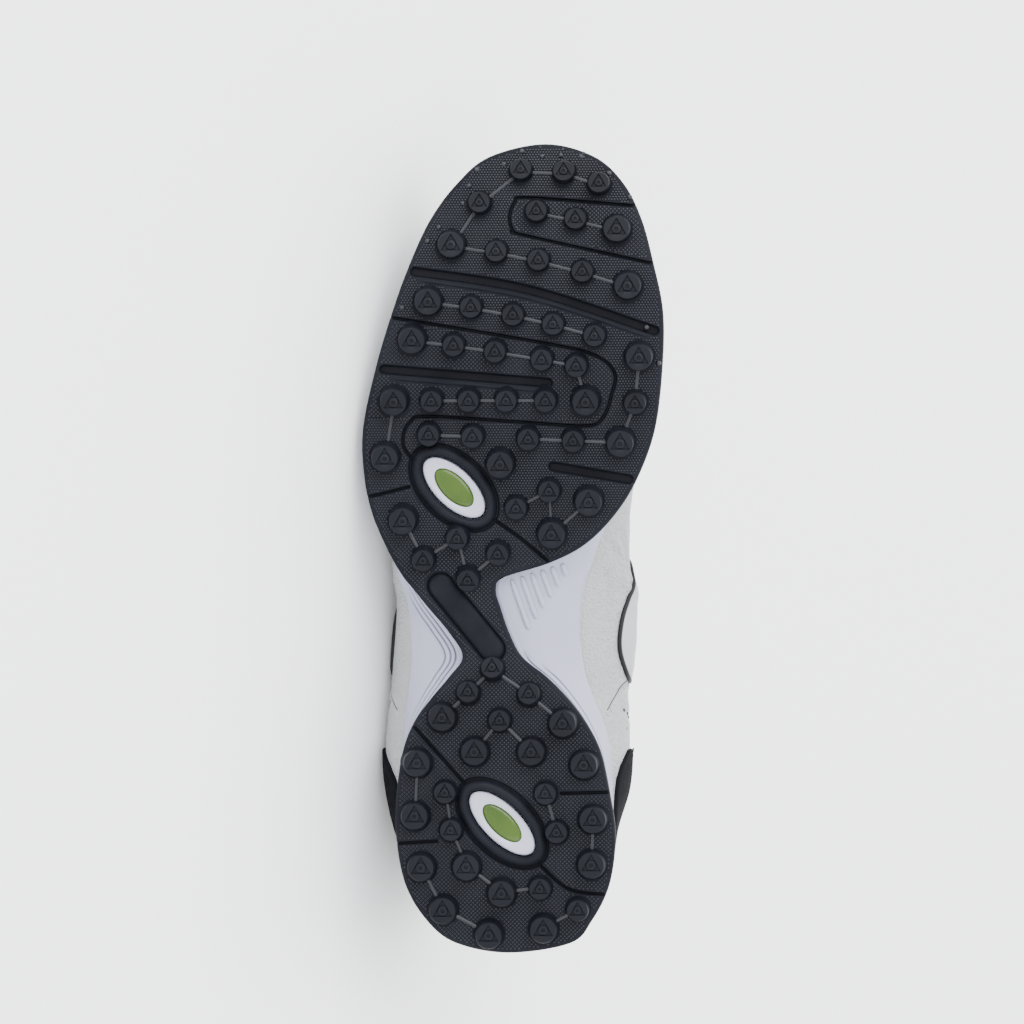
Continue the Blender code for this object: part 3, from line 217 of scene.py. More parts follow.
def hermite(before: np.ndarray, start: np.ndarray, end: np.ndarray, after: np.ndarray,
            t: np.ndarray | float) -> np.ndarray:
    """Point at t on the smooth curve from start to end, given their neighbours."""
    t2 = t * t
    t3 = t2 * t
    return (start * (2 * t3 - 3 * t2 + 1) + (end - before) * 0.5 * (t3 - 2 * t2 + t)
            + end * (3 * t2 - 2 * t3) + (after - start) * 0.5 * (t3 - t2))


def closed_curve(points: np.ndarray, per_span: int) -> np.ndarray:
    """Smooth closed curve through the points, per_span steps between two of them."""
    four = [np.roll(points, -step, axis=0) for step in (-1, 0, 1, 2)]
    rows = [hermite(*four, step / per_span) for step in range(per_span)]
    return np.stack(rows, axis=1).reshape(-1, points.shape[1])


def open_curve(points: np.ndarray, per_span: int) -> np.ndarray:
    """Smooth open curve through the points, per_span steps between two of them."""
    last = len(points) - 1
    rows = []
    for span in range(last):
        four = [points[min(max(span + step, 0), last)] for step in (-1, 0, 1, 2)]
        rows += [hermite(*four, step / per_span) for step in range(per_span)]
    return np.array([*rows, points[last]])


def evenly(points: np.ndarray, pitch: float) -> np.ndarray:
    """Points of an open polyline at an even pitch, with any further columns beside them."""
    steps = np.linalg.norm(np.diff(points[:, :3], axis=0), axis=1)
    run = np.concatenate(([0.0], np.cumsum(steps)))
    count = max(2, int(run[-1] / pitch) + 1)
    at = np.linspace(0.0, run[-1], count)
    return np.stack([np.interp(at, run, points[:, k]) for k in range(points.shape[1])], axis=1)


def eased_table(rows: np.ndarray, column: int, at: float) -> float:
    """Value of a column where the first column reads at, eased between the rows."""
    knots = rows[:, 0]
    at = min(max(at, knots[0]), knots[-1])
    index = min(int(np.searchsorted(knots, at, side="right")) - 1, len(knots) - 2)
    share = float(ease((at - knots[index]) / (knots[index + 1] - knots[index])))
    return rows[index, column] + (rows[index + 1, column] - rows[index, column]) * share


def distance_to_line(points: np.ndarray, line: np.ndarray) -> np.ndarray:
    """Distance of each plan point to a polyline.

    Args:
        points: plan points, one a row.
        line: the polyline's points, one a row.

    Returns:
        The distances, in metres.
    """
    best = np.full(len(points), 1e9)
    for start, end in zip(line, line[1:]):
        run = end - start
        share = np.clip(((points - start) @ run) / max(float(run @ run), 1e-15), 0.0, 1.0)
        best = np.minimum(best, np.linalg.norm(points - start - share[:, None] * run, axis=1))
    return best


def inside_loop(points: np.ndarray, loop: np.ndarray) -> np.ndarray:
    """Whether each plan point lies inside a closed loop."""
    inside = np.zeros(len(points), dtype=bool)
    x, y = points[:, 0], points[:, 1]
    for (x1, y1), (x2, y2) in zip(loop, np.roll(loop, -1, axis=0)):
        crosses = (y1 > y) != (y2 > y)
        reach = (x2 - x1) * (y - y1) / (y2 - y1 if y2 != y1 else 1e-15) + x1
        inside ^= crosses & (x < reach)
    return inside


def outward(loop: np.ndarray) -> np.ndarray:
    """Outward normal of a closed plan outline at each of its points."""
    run = np.roll(loop, -1, axis=0) - np.roll(loop, 1, axis=0)
    return unit(np.stack([run[:, 1], -run[:, 0]], axis=1))


def inset(loop: np.ndarray, distance: float) -> np.ndarray:
    """The outline moved inwards by a distance."""
    return loop - outward(loop) * distance


def grid_faces(rows: int, columns: int, wrap: bool = False, start: int = 0,
               flip: bool = False) -> np.ndarray:
    """Quads of a grid of points, rows by columns.

    Args:
        rows: count of rows.
        columns: count of points in a row.
        wrap: whether the last row joins the first.
        start: index of the grid's first point.
        flip: whether the faces turn the other way.

    Returns:
        Four point indices a face.
    """
    i = np.arange(rows if wrap else rows - 1)
    k = np.arange(columns - 1)
    i, k = np.meshgrid(i, k, indexing="ij")
    j = (i + 1) % rows
    quads = np.stack([i * columns + k, j * columns + k, j * columns + k + 1,
                      i * columns + k + 1], axis=-1).reshape(-1, 4) + start
    return quads[:, ::-1] if flip else quads


def ring_faces(rings: int, sides: int, start: int = 0, flip: bool = False,
               tube: bool = False) -> list[tuple[int, ...]]:
    """Faces of a body through rings of points.

    Args:
        rings: count of rings.
        sides: count of points in a ring.
        start: index of the first point.
        flip: whether the faces turn the other way.
        tube: whether the last ring joins the first, instead of a cap on either end.

    Returns:
        The point indices of each face.
    """
    faces = []
    for ring in range(rings if tube else rings - 1):
        after = (ring + 1) % rings
        for step in range(sides):
            follow = (step + 1) % sides
            faces.append((ring * sides + step, ring * sides + follow,
                          after * sides + follow, after * sides + step))
    if not tube:
        faces.append(tuple(range(sides))[::-1])
        faces.append(tuple(range((rings - 1) * sides, rings * sides)))
    faces = [tuple(k + start for k in face) for face in faces]
    return [face[::-1] for face in faces] if flip else faces


def strip_faces(count: int, columns: int) -> list[tuple[int, ...]]:
    """Faces of a grid that runs round, closed in strips over its first and last column."""
    faces = [tuple(face) for face in grid_faces(count, columns, wrap=True)]
    for level, way in ((0, 1), (columns - 1, -1)):
        for k in range(count // 2):
            quad = dict.fromkeys((k, k + 1, (count - k - 1) % count, (count - k) % count))
            faces.append(tuple(q * columns + level for q in quad)[::way])
    return faces


def turned_out(points: np.ndarray, faces: Sequence[tuple[int, ...]]) -> list[tuple[int, ...]]:
    """The faces of a closed body, turned outwards."""
    volume = 0.0
    for face in faces:
        a = points[face[0]]
        for k in range(1, len(face) - 1):
            volume += float(a @ np.cross(points[face[k]], points[face[k + 1]]))
    return [face[::-1] for face in faces] if volume < 0 else list(faces)


def raw_mesh(name: str, points: Iterable, edges: Iterable = (), faces: Iterable = ()
             ) -> bpy.types.Mesh:
    """Mesh data from points, edges and faces."""
    data = bpy.data.meshes.new(name)
    data.from_pydata([tuple(p) for p in points], list(edges), [tuple(f) for f in faces])
    return data


def in_scene(name: str, data: object) -> bpy.types.Object:
    """Object of the data, linked to the scene."""
    thing = bpy.data.objects.new(name, data)
    bpy.context.scene.collection.objects.link(thing)
    return thing


@dataclass(frozen=True)
class ShoeSizes:
    """Main sizes of the shoe in its standing frame, in metres."""

    length: float = 0.290
    ball_width: float = 0.1075
    heel_apex: float = 0.010
    toe_apex: float = 0.130
    heel_stack: float = 0.027
    ball_stack: float = 0.0175
    toe_spring: float = 0.012
    arch_lift: float = 0.003
    heel_bevel: float = 0.0018
    stud_height: float = 0.0055
    outsole: float = 0.0032
    rim_wall: float = 0.0016
    rim_height: float = 0.0016
    toe_wrap: float = 0.006
    heel_height: float = 0.089
    ankle_height: float = 0.070
    instep_height: float = 0.094
    vamp_height: float = 0.068
    collar_half_width: float = 0.0345
    throat_top_half_width: float = 0.0160
    throat_end_half_width: float = 0.0110
    feather_inset: float = 0.0006
    heel_belly: float = 0.0022
    lateral_lean: float = 0.011
    waist_bulge: float = 0.013
    wall: float = 0.0022
    collar_padding: float = 0.0024
    gap: float = 0.0003
    overlay_gap: float = 0.0004
    collar_back_at: float = 0.035
    collar_dip_at: float = 0.205
    throat_top_at: float = 0.425
    throat_end_at: float = 0.685
    feather_heel_at: float = 0.0066
    feather_toe_at: float = 0.9934

    def toe_rise(self, share: np.ndarray) -> np.ndarray:
        """How much the sole lifts towards the toe."""
        return self.toe_spring * np.maximum(0.0, (share - 0.70) / 0.30) ** 1.9

    def base(self, y: np.ndarray) -> np.ndarray:
        """Height of the rubber's face between the studs."""
        share = np.asarray(y) / self.length
        arch = self.arch_lift * ease((share - 0.30) / 0.09) * ease((0.49 - share) / 0.09)
        bevel = self.heel_bevel * np.maximum(0.0, (0.12 - share) / 0.12) ** 1.6
        return self.stud_height + arch + bevel + self.toe_rise(share)

    def plate(self, y: np.ndarray) -> np.ndarray:
        """Height of the outsole's inner face."""
        return self.base(y) + self.outsole

    def rim(self, y: np.ndarray) -> np.ndarray:
        """Height of the outsole's rim, which climbs at the toe."""
        share = np.asarray(y) / self.length
        return self.plate(y) + self.rim_height + self.toe_wrap * ease((share - 0.88) / 0.11)

    def bed(self, y: np.ndarray) -> np.ndarray:
        """Height of the midsole's top."""
        share = np.asarray(y) / self.length
        step = ease((share - 0.20) / 0.46)
        return (self.heel_stack + (self.ball_stack - self.heel_stack) * step
                + self.toe_rise(share))

    def place(self, along: float, across: float) -> np.ndarray:
        """Plan point from shares of the length and of the ball width, medial positive."""
        return np.array([-across * self.ball_width, along * self.length])

    def line(self, shares: Iterable[tuple[float, float]]) -> np.ndarray:
        """Plan points from shares (along, across)."""
        return np.array([self.place(along, across) for along, across in shares])

    def side_line(self, shares: Iterable[tuple[float, float]]) -> np.ndarray:
        """Side-view points from shares of the length and of the heel's height."""
        return np.array(list(shares)) * (self.length, self.heel_height)

    def outline(self, lateral: str, medial: str, heel_at: float = 0.0,
                toe_at: float = 1.0) -> np.ndarray:
        """Closed outline of two columns: heel, lateral side, toe, medial side."""
        lat = SECTIONS[:, SECTION_COLUMNS.index(lateral)] * self.ball_width
        med = SECTIONS[:, SECTION_COLUMNS.index(medial)] * self.ball_width
        along = SECTIONS[:, 0] * self.length
        heel = (-self.heel_apex * self.ball_width, heel_at * self.length)
        toe = (-self.toe_apex * self.ball_width, toe_at * self.length)
        return np.array([heel, *zip(lat, along), toe, *zip(-med[::-1], along[::-1])])

    def feather(self) -> np.ndarray:
        """Outline where the upper meets the midsole."""
        return self.outline("feather_lat", "feather_med", self.feather_heel_at,
                            self.feather_toe_at)

    def sole_edge(self, per_span: int = 8) -> np.ndarray:
        """Smooth outline of the outsole."""
        return closed_curve(self.outline("sole_lat", "sole_med"), per_span)

    def crest_height(self, share: float) -> float:
        """Height of collar and throat over the length."""
        knots = np.array(((self.collar_back_at, self.heel_height),
                          (self.collar_dip_at, self.ankle_height),
                          (self.throat_top_at, self.instep_height)))
        if share <= self.throat_top_at:
            return eased_table(knots, 1, share)
        part = (share - self.throat_top_at) / (self.throat_end_at - self.throat_top_at)
        fall = 0.25 * float(ease(part)) + 0.75 * part
        return self.instep_height + (self.vamp_height - self.instep_height) * fall

    def crest_half_width(self, share: float) -> float:
        """Half width of collar and throat: round collar, narrow throat, round end."""
        end_round = self.throat_end_half_width / self.length
        if share < self.collar_dip_at:
            part = (self.collar_dip_at - share) / (self.collar_dip_at - self.collar_back_at)
            return self.collar_half_width * math.sqrt(max(0.0, 1.0 - part * part))
        if share < self.throat_top_at:
            part = float(ease((share - self.collar_dip_at)
                              / (self.throat_top_at - self.collar_dip_at)))
            return (self.collar_half_width
                    + (self.throat_top_half_width - self.collar_half_width) * part)
        straight_end = self.throat_end_at - end_round
        if share < straight_end:
            part = (share - self.throat_top_at) / (straight_end - self.throat_top_at)
            return (self.throat_top_half_width
                    + (self.throat_end_half_width - self.throat_top_half_width) * part)
        part = (share - straight_end) / end_round
        return self.throat_end_half_width * math.sqrt(max(0.0, 1.0 - part * part))

    def instep_line(self, share: float) -> float:
        """X of the line over the instep, which swings to the big toe."""
        return -self.ball_width * (0.005 + 0.06 * float(ease((share - 0.25) / 0.6)))


SHOE = ShoeSizes()


def shoe_to_row() -> Matrix:
    """Turn and shift from the standing shoe to the row frame, from the record's mounts.

    Returns:
        The 4 by 4 matrix that lays the shoe down as it is packed.
    """
    mounts = {mount["name"]: mount for mount in frame["record"]["mounts"]}
    heel_row = Vector(mounts["heel_stud_end"]["pos_m"])
    fore_row = Vector(mounts["forefoot_stud_end"]["pos_m"])
    heel = Vector((*SHOE.place(0.244, -0.100), 0.0))
    fore = Vector((*SHOE.place(0.602, -0.015), 0.0))
    up_row = -Vector(mounts["heel_stud_end"]["axis"]).normalized()

    def basis(run: Vector, up: Vector) -> Matrix:
        """Columns along the run, up, and across both."""
        along = (run - up * run.dot(up)).normalized()
        return Matrix((along, up, along.cross(up))).transposed()

    turn = basis(fore_row - heel_row, up_row) @ basis(fore - heel, Vector((0, 0, 1))).transposed()
    middle_row = (heel_row + fore_row) / 2
    middle = (heel + fore) / 2
    return Matrix.Translation(middle_row - turn @ middle) @ turn.to_4x4()


TO_ROW = shoe_to_row()


class Slot(Enum):
    """Material slots of the record."""

    RUBBER = "outsole_rubber"
    FOAM = "midsole_foam"
    GEL = "window_gel"
    LEATHER = "upper_leather"
    SUEDE = "counter_suede"
    TEXTILE = "lining_textile"


class Side(Enum):
    """Sides of the shoe and the way that X runs to them."""

    LATERAL = 1
    MEDIAL = -1


class Projection(Enum):
    """How a crease is drawn on the upper."""

    LATERAL = "lateral"
    MEDIAL = "medial"
    TOP = "top"


class NodeBench:
    """Places and links nodes of one tree."""

    def __init__(self, tree: bpy.types.NodeTree) -> None:
        """Work on this tree."""
        self.tree = tree

    def feed(self, node: bpy.types.Node, inputs: dict[object, object]) -> None:
        """Give each input its value, or the socket that it is linked to."""
        for key, value in inputs.items():
            if isinstance(value, bpy.types.NodeSocket):
                self.tree.links.new(value, node.inputs[key])
            else:
                node.inputs[key].default_value = value

    def add(self, kind: str, inputs: dict[object, object] | None = None,
            **settings: object) -> bpy.types.Node:
        """Add a node with its settings and inputs."""
        node = self.tree.nodes.new(kind)
        for name, value in settings.items():
            setattr(node, name, value)
        self.feed(node, inputs or {})
        return node

    def math(self, operation: str, *values: object) -> bpy.types.NodeSocket:
        """Math node on sockets or numbers; gives its output."""
        return self.add("ShaderNodeMath", dict(enumerate(values)), operation=operation).outputs[0]

    def span(self, value: bpy.types.NodeSocket, from_low: float, from_high: float,
             to_low: float, to_high: float) -> bpy.types.NodeSocket:
        """Map Range of a value; gives its output."""
        return self.add("ShaderNodeMapRange", {
            "Value": value, "From Min": from_low, "From Max": from_high, "To Min": to_low,
            "To Max": to_high}).outputs[0]

    def noise(self, vector: bpy.types.NodeSocket, scale: object,
              detail: float = 3.0) -> bpy.types.NodeSocket:
        """Noise over a vector; gives its factor."""
        return self.add("ShaderNodeTexNoise", {"Detail": detail, "Vector": vector,
                                               "Scale": scale}).outputs["Fac"]

    def named(self, attribute: str, kind: str = "FLOAT_VECTOR") -> bpy.types.NodeSocket:
        """Values of a named attribute in Geometry Nodes."""
        return self.add("GeometryNodeInputNamedAttribute", data_type=kind,
                        inputs={"Name": attribute}).outputs["Attribute"]


def new_group(name: str, kind: str, inputs: dict[str, tuple[str, object]],
              outputs: dict[str, str]) -> tuple[bpy.types.NodeTree, NodeBench,
                                                bpy.types.Node, bpy.types.Node]:
    """Empty node group with named sockets.

    Args:
        name: name of the group.
        kind: type of its tree.
        inputs: socket type and start value by name.
        outputs: socket type by name.

    Returns:
        The tree, a bench on it, and its input and output nodes.
    """
    tree = bpy.data.node_groups.new(name, kind)
    for label, (socket, value) in inputs.items():
        made = tree.interface.new_socket(label, in_out="INPUT", socket_type=socket)
        if value is not None:
            made.default_value = value
    for label, socket in outputs.items():
        tree.interface.new_socket(label, in_out="OUTPUT", socket_type=socket)
    bench = NodeBench(tree)
    return tree, bench, bench.add("NodeGroupInput"), bench.add("NodeGroupOutput")


FLOAT = "NodeSocketFloat"
VECTOR = "NodeSocketVector"
GEOMETRY = "NodeSocketGeometry"


def pebble_group() -> bpy.types.NodeTree:
    """Leather grain: rounded pebbles with fine pores between them."""
    tree, bench, given, out = new_group(
        "pebbled_grain", "ShaderNodeTree",
        {"Vector": (VECTOR, None), "Pebble Size": (FLOAT, 0.0011), "Warp": (FLOAT, 0.35)},
        {"Height": FLOAT, "Tone": FLOAT})
    place, size = given.outputs["Vector"], given.outputs["Pebble Size"]
    warp = bench.add("ShaderNodeTexNoise", {"Scale": 260.0, "Vector": place})
    reach = bench.math("MULTIPLY", given.outputs["Warp"], size)
    shift = bench.add("ShaderNodeVectorMath", {0: warp.outputs["Color"], "Scale": reach},
                      operation="SCALE")
    moved = bench.add("ShaderNodeVectorMath", {0: place, 1: shift.outputs[0]}, operation="ADD")
    cells = bench.add("ShaderNodeTexVoronoi", feature="SMOOTH_F1",
                      inputs={"Smoothness": 0.6, "Vector": moved.outputs[0],
                              "Scale": bench.math("DIVIDE", 1.0, size)})
    pores = bench.math("MULTIPLY", bench.noise(place, 2600.0, 2.0), 0.18)
    height = bench.math("ADD", bench.span(cells.outputs["Distance"], 0.05, 0.75, 1.0, 0.0), pores)
    tone = bench.span(bench.noise(place, 38.0, 4.0), 0.3, 0.7, 0.0, 1.0)
    bench.feed(out, {"Height": height, "Tone": tone})
    return tree


def fine_grain_group() -> bpy.types.NodeTree:
    """Fine moulded or napped grain with slow patches, for rubber, foam and suede."""
    tree, bench, given, out = new_group(
        "fine_grain", "ShaderNodeTree",
        {"Vector": (VECTOR, None), "Grain Size": (FLOAT, 0.0004), "Patch Size": (FLOAT, 0.02)},
        {"Height": FLOAT, "Patch": FLOAT})
    grain, patch = (bench.noise(given.outputs["Vector"],
                                bench.math("DIVIDE", 1.0, given.outputs[size]), detail)
                    for size, detail in (("Grain Size", 2.0), ("Patch Size", 5.0)))
    bench.feed(out, {"Height": grain, "Patch": bench.span(patch, 0.32, 0.68, 0.0, 1.0)})
    return tree


def weave_group() -> bpy.types.NodeTree:
    """Plain weave that follows the piece's own UV map."""
    tree, bench, given, out = new_group(
        "plain_weave", "ShaderNodeTree",
        {"Vector": (VECTOR, None), "Thread": (FLOAT, 0.0006)}, {"Height": FLOAT, "Tone": FLOAT})
    parts = bench.add("ShaderNodeSeparateXYZ", {0: given.outputs["Vector"]})
    waves = []
    for axis in ("X", "Y"):
        turn = bench.math("DIVIDE", parts.outputs[axis], given.outputs["Thread"])
        waves.append(bench.math("SINE", bench.math("MULTIPLY", turn, math.pi)))
    height = bench.span(bench.math("MULTIPLY", *waves), -1.0, 1.0, 0.0, 1.0)
    # Tone follows the height: the finish's darker tone fills the low points between the threads,
    # painted shade in the weave's hollows
    bench.feed(out, {"Height": height, "Tone": bench.math("POWER", height, 0.6)})
    return tree


class SharedNodes:
    """Shader groups and Geometry Nodes trees, each built once."""

    def __init__(self) -> None:
        """Build all of them."""
        self.pebble = pebble_group()
        self.grain = fine_grain_group()
        self.weave = weave_group()
        self.repeat = self.repeat_tree()
        self.rail = self.rail_tree()

    @staticmethod
    def repeat_tree() -> bpy.types.NodeTree:
        """Tree that sets a template on every point, with its turn and size."""
        tree, bench, given, out = new_group(
            "repeat_on_points", "GeometryNodeTree",
            {"Points": (GEOMETRY, None), "Template": ("NodeSocketObject", None),
             "Scale": (FLOAT, 1.0), "Finish": ("NodeSocketMaterial", None)},
            {"Geometry": GEOMETRY})
        info = bench.add("GeometryNodeObjectInfo", {"Object": given.outputs["Template"]})
        rotation = bench.add("FunctionNodeEulerToRotation", {0: bench.named("turn")})
        scaled = bench.add("ShaderNodeVectorMath", operation="SCALE",
                           inputs={0: bench.named("size"), "Scale": given.outputs["Scale"]})
        instances = bench.add("GeometryNodeInstanceOnPoints", {
            "Points": given.outputs["Points"], "Instance": info.outputs["Geometry"],
            "Rotation": rotation.outputs[0], "Scale": scaled.outputs[0]})
        SharedNodes.close(bench, instances.outputs[0], given, out)
        return tree

    @staticmethod
    def rail_tree() -> bpy.types.NodeTree:
        """Tree that runs a round rail along the edges of a mesh."""
        tree, bench, given, out = new_group(
            "rail_along_edges", "GeometryNodeTree",
            {"Edges": (GEOMETRY, None), "Radius": (FLOAT, 0.0005),
             "Sides": ("NodeSocketInt", 10), "Finish": ("NodeSocketMaterial", None)},
            {"Geometry": GEOMETRY})
        curve = bench.add("GeometryNodeMeshToCurve", {"Mesh": given.outputs["Edges"]})
        widened = bench.add("GeometryNodeSetCurveRadius", {
            "Curve": curve.outputs[0], "Radius": bench.named("thick", "FLOAT")})
        ring = bench.add("GeometryNodeCurvePrimitiveCircle", {
            "Radius": given.outputs["Radius"], "Resolution": given.outputs["Sides"]})
        sweep = bench.add("GeometryNodeCurveToMesh", {
            "Curve": widened.outputs[0], "Profile Curve": ring.outputs["Curve"],
            "Fill Caps": True})
        if "Scale" in sweep.inputs:
            radius = bench.add("GeometryNodeInputRadius")
            bench.feed(sweep, {"Scale": radius.outputs[0]})
        SharedNodes.close(bench, sweep.outputs[0], given, out)
        return tree

    @staticmethod
    def close(bench: NodeBench, made: bpy.types.NodeSocket, given: bpy.types.Node,
              out: bpy.types.Node) -> None:
        """End a tree in Realize Instances and Set Material."""
        real = bench.add("GeometryNodeRealizeInstances", {0: made})
        painted = bench.add("GeometryNodeSetMaterial", {
            "Geometry": real.outputs[0], "Material": given.outputs["Finish"]})
        bench.feed(out, {"Geometry": painted.outputs[0]})


@dataclass(frozen=True)
class Finish:
    """A finish with its main values; how names the shared group that adds its grain."""

    name: str
    colour: tuple[float, float, float]
    roughness: float
    how: str = "plain"
    tone: tuple[float, float, float] = (0.0, 0.0, 0.0)
    grain: float = 0.0004
    bump: float = 0.3
    depth: float = 0.00012
    specular: float = 0.5
    sheen: float = 0.0
    coat: float = 0.0
    roughness_swing: float = 0.08
    # Whether the finish reads the painted recess shade attribute and the grit attribute
    marked: bool = False

    def build(self, nodes: SharedNodes) -> bpy.types.Material:
        """Make the material with the shared groups."""
        material = bpy.data.materials.new(self.name)
        material.use_nodes = True
        material.diffuse_color = (*self.colour, 1.0)
        bench = NodeBench(material.node_tree)
        shader = material.node_tree.nodes["Principled BSDF"]
        bench.feed(shader, {
            "Base Color": (*self.colour, 1.0), "Roughness": self.roughness,
            "Specular IOR Level": self.specular, "Sheen Weight": self.sheen,
            "Sheen Roughness": 0.4, "Coat Weight": self.coat, "Coat Roughness": 0.15})
        if self.how != "plain":
            self.dress(bench, shader, nodes)
        return material

    def dress(self, bench: NodeBench, shader: bpy.types.Node, nodes: SharedNodes) -> None:
        """Add the grain's bump, tone and roughness to the shader."""
        place = bench.add("ShaderNodeTexCoord")
        source = "UV" if self.how == "weave" else "Object"
        group = bench.add("ShaderNodeGroup", node_tree=getattr(nodes, self.how), inputs={
            "Vector": place.outputs[source], 1: self.grain})
        tone, height = group.outputs[1], group.outputs["Height"]
        # Mix towards the tone colour: random patches for grain and pebble, painted shade between the
        # threads for the weave
        mix = bench.add("ShaderNodeMix", data_type="RGBA", inputs={
            "A": (*self.tone, 1.0), "B": (*self.colour, 1.0), "Factor": tone})
        colour = mix.outputs["Result"]
        if self.marked:
            # Painted shade in the marked recesses, then the coarse grit texture
            colour = self.with_recess_shade(bench, colour)
            height = self.grit(bench, height)
        rough = bench.span(tone, 0.0, 1.0, self.roughness - self.roughness_swing,
                           self.roughness + self.roughness_swing)
        bump = bench.add("ShaderNodeBump", {"Strength": self.bump, "Distance": self.depth,
                                            "Height": height})
        bench.feed(shader, {"Base Color": colour, "Roughness": rough,
                            "Normal": bump.outputs["Normal"]})

    @staticmethod
    def with_recess_shade(bench: NodeBench, colour: bpy.types.NodeSocket) -> bpy.types.NodeSocket:
        """Painted shade: darker colour in the grooves, engraved lines and pits that the piece's own
        attribute marks, for the shade that falls in them.
        """
        zone = bench.add("ShaderNodeAttribute", attribute_name="score")
        dark = bench.add("ShaderNodeMix", data_type="RGBA", blend_type="MULTIPLY", inputs={
            "A": colour, "B": (0.42, 0.42, 0.45, 1.0), "Factor": zone.outputs["Fac"]})
        return dark.outputs["Result"]

    @staticmethod
    def grit(bench: NodeBench, height: bpy.types.NodeSocket) -> bpy.types.NodeSocket:
        """Coarser texture where the piece's own grit attribute asks for it."""
        zone = bench.add("ShaderNodeAttribute", attribute_name="grit")
        place = bench.add("ShaderNodeTexCoord")
        coarse = bench.noise(place.outputs["Object"], 1500.0, 2.0)
        rough = bench.math("MULTIPLY", bench.math("MULTIPLY", coarse, zone.outputs["Fac"]), 5.0)
        return bench.math("ADD", height, rough)


FINISHES = {
    "rubber": Finish("outsole_rubber_black", (0.0044, 0.0049, 0.0076), 0.60, "grain",
                     (0.0066, 0.0073, 0.0106), 0.00035, 0.35, 0.00010, 0.08, marked=True),
    "stud": Finish("stud_rubber_black", (0.0036, 0.0040, 0.0062), 0.48, "grain",
                   (0.0052, 0.0058, 0.0086), 0.00030, 0.20, 0.00008, 0.10),
    # Painted highlight: the plate's black rubber made lighter for the pips, knurl, stud links and toe
    # nubs, so that they look lit
    "tread": Finish("tread_rubber_black", (0.0105, 0.0115, 0.0165), 0.40, "grain",
                    (0.0085, 0.0093, 0.0135), 0.00030, 0.20, 0.00006, 0.30),
    "foam": Finish("midsole_foam_skin", (0.310, 0.312, 0.408), 0.55, "grain",
                   (0.285, 0.287, 0.378), 0.00032, 0.25, 0.00008, 0.30, marked=True),
    "ring": Finish("window_ring_white", (0.350, 0.353, 0.440), 0.32),
    "gel": Finish("window_gel_green", (0.048, 0.090, 0.008), 0.22, "grain",
                  (0.026, 0.055, 0.004), 0.0016, 0.25, 0.00015, 0.25, 0.0, 0.10),
    "leather": Finish("upper_leather_white", (0.292, 0.303, 0.310), 0.46, "pebble",
                      (0.235, 0.246, 0.254), 0.00105, 1.0, 0.00042, 0.40),
    "leather_smooth": Finish("overlay_leather_white", (0.290, 0.300, 0.314), 0.42, "pebble",
                             (0.255, 0.264, 0.278), 0.00075, 0.40, 0.00010, 0.45),
    "suede": Finish("counter_suede_black", (0.0028, 0.0030, 0.0040), 0.92, "grain",
                    (0.0058, 0.0060, 0.0076), 0.00022, 0.85, 0.00020, 0.06),
    "piping": Finish("piping_black", (0.0040, 0.0042, 0.0055), 0.50, specular=0.20),
    "lining": Finish("collar_lining_grey", (0.270, 0.278, 0.295), 0.82, "grain",
                     (0.215, 0.225, 0.240), 0.00050, 0.6, 0.00015, 0.3, 0.10),
    "tongue": Finish("tongue_mesh_white", (0.320, 0.332, 0.348), 0.80, "weave",
                     (0.185, 0.196, 0.210), 0.0011, 0.6, 0.00020, 0.3, 0.10),
    "lace": Finish("lace_woven_white", (0.370, 0.378, 0.392), 0.85, "weave",
                   (0.240, 0.248, 0.262), 0.00055, 0.7, 0.00020, 0.3, 0.10),
    "insole": Finish("insole_cloth_grey", (0.180, 0.190, 0.205), 0.90, "weave",
                     (0.110, 0.118, 0.130), 0.00065, 0.6, 0.00015, 0.3, 0.08),
    "thread": Finish("thread_white", (0.360, 0.368, 0.380), 0.70),
    "thread_black": Finish("thread_black", (0.020, 0.021, 0.025), 0.70),
    # Painted shade: dark discs stand in for the perforations' holes; the same dark also draws the
    # quarter seam lines
    "hole": Finish("perforation_dark", (0.045, 0.047, 0.052), 0.85),
    "eyelet": Finish("eyelet_lacquer_white", (0.330, 0.340, 0.355), 0.30),
}


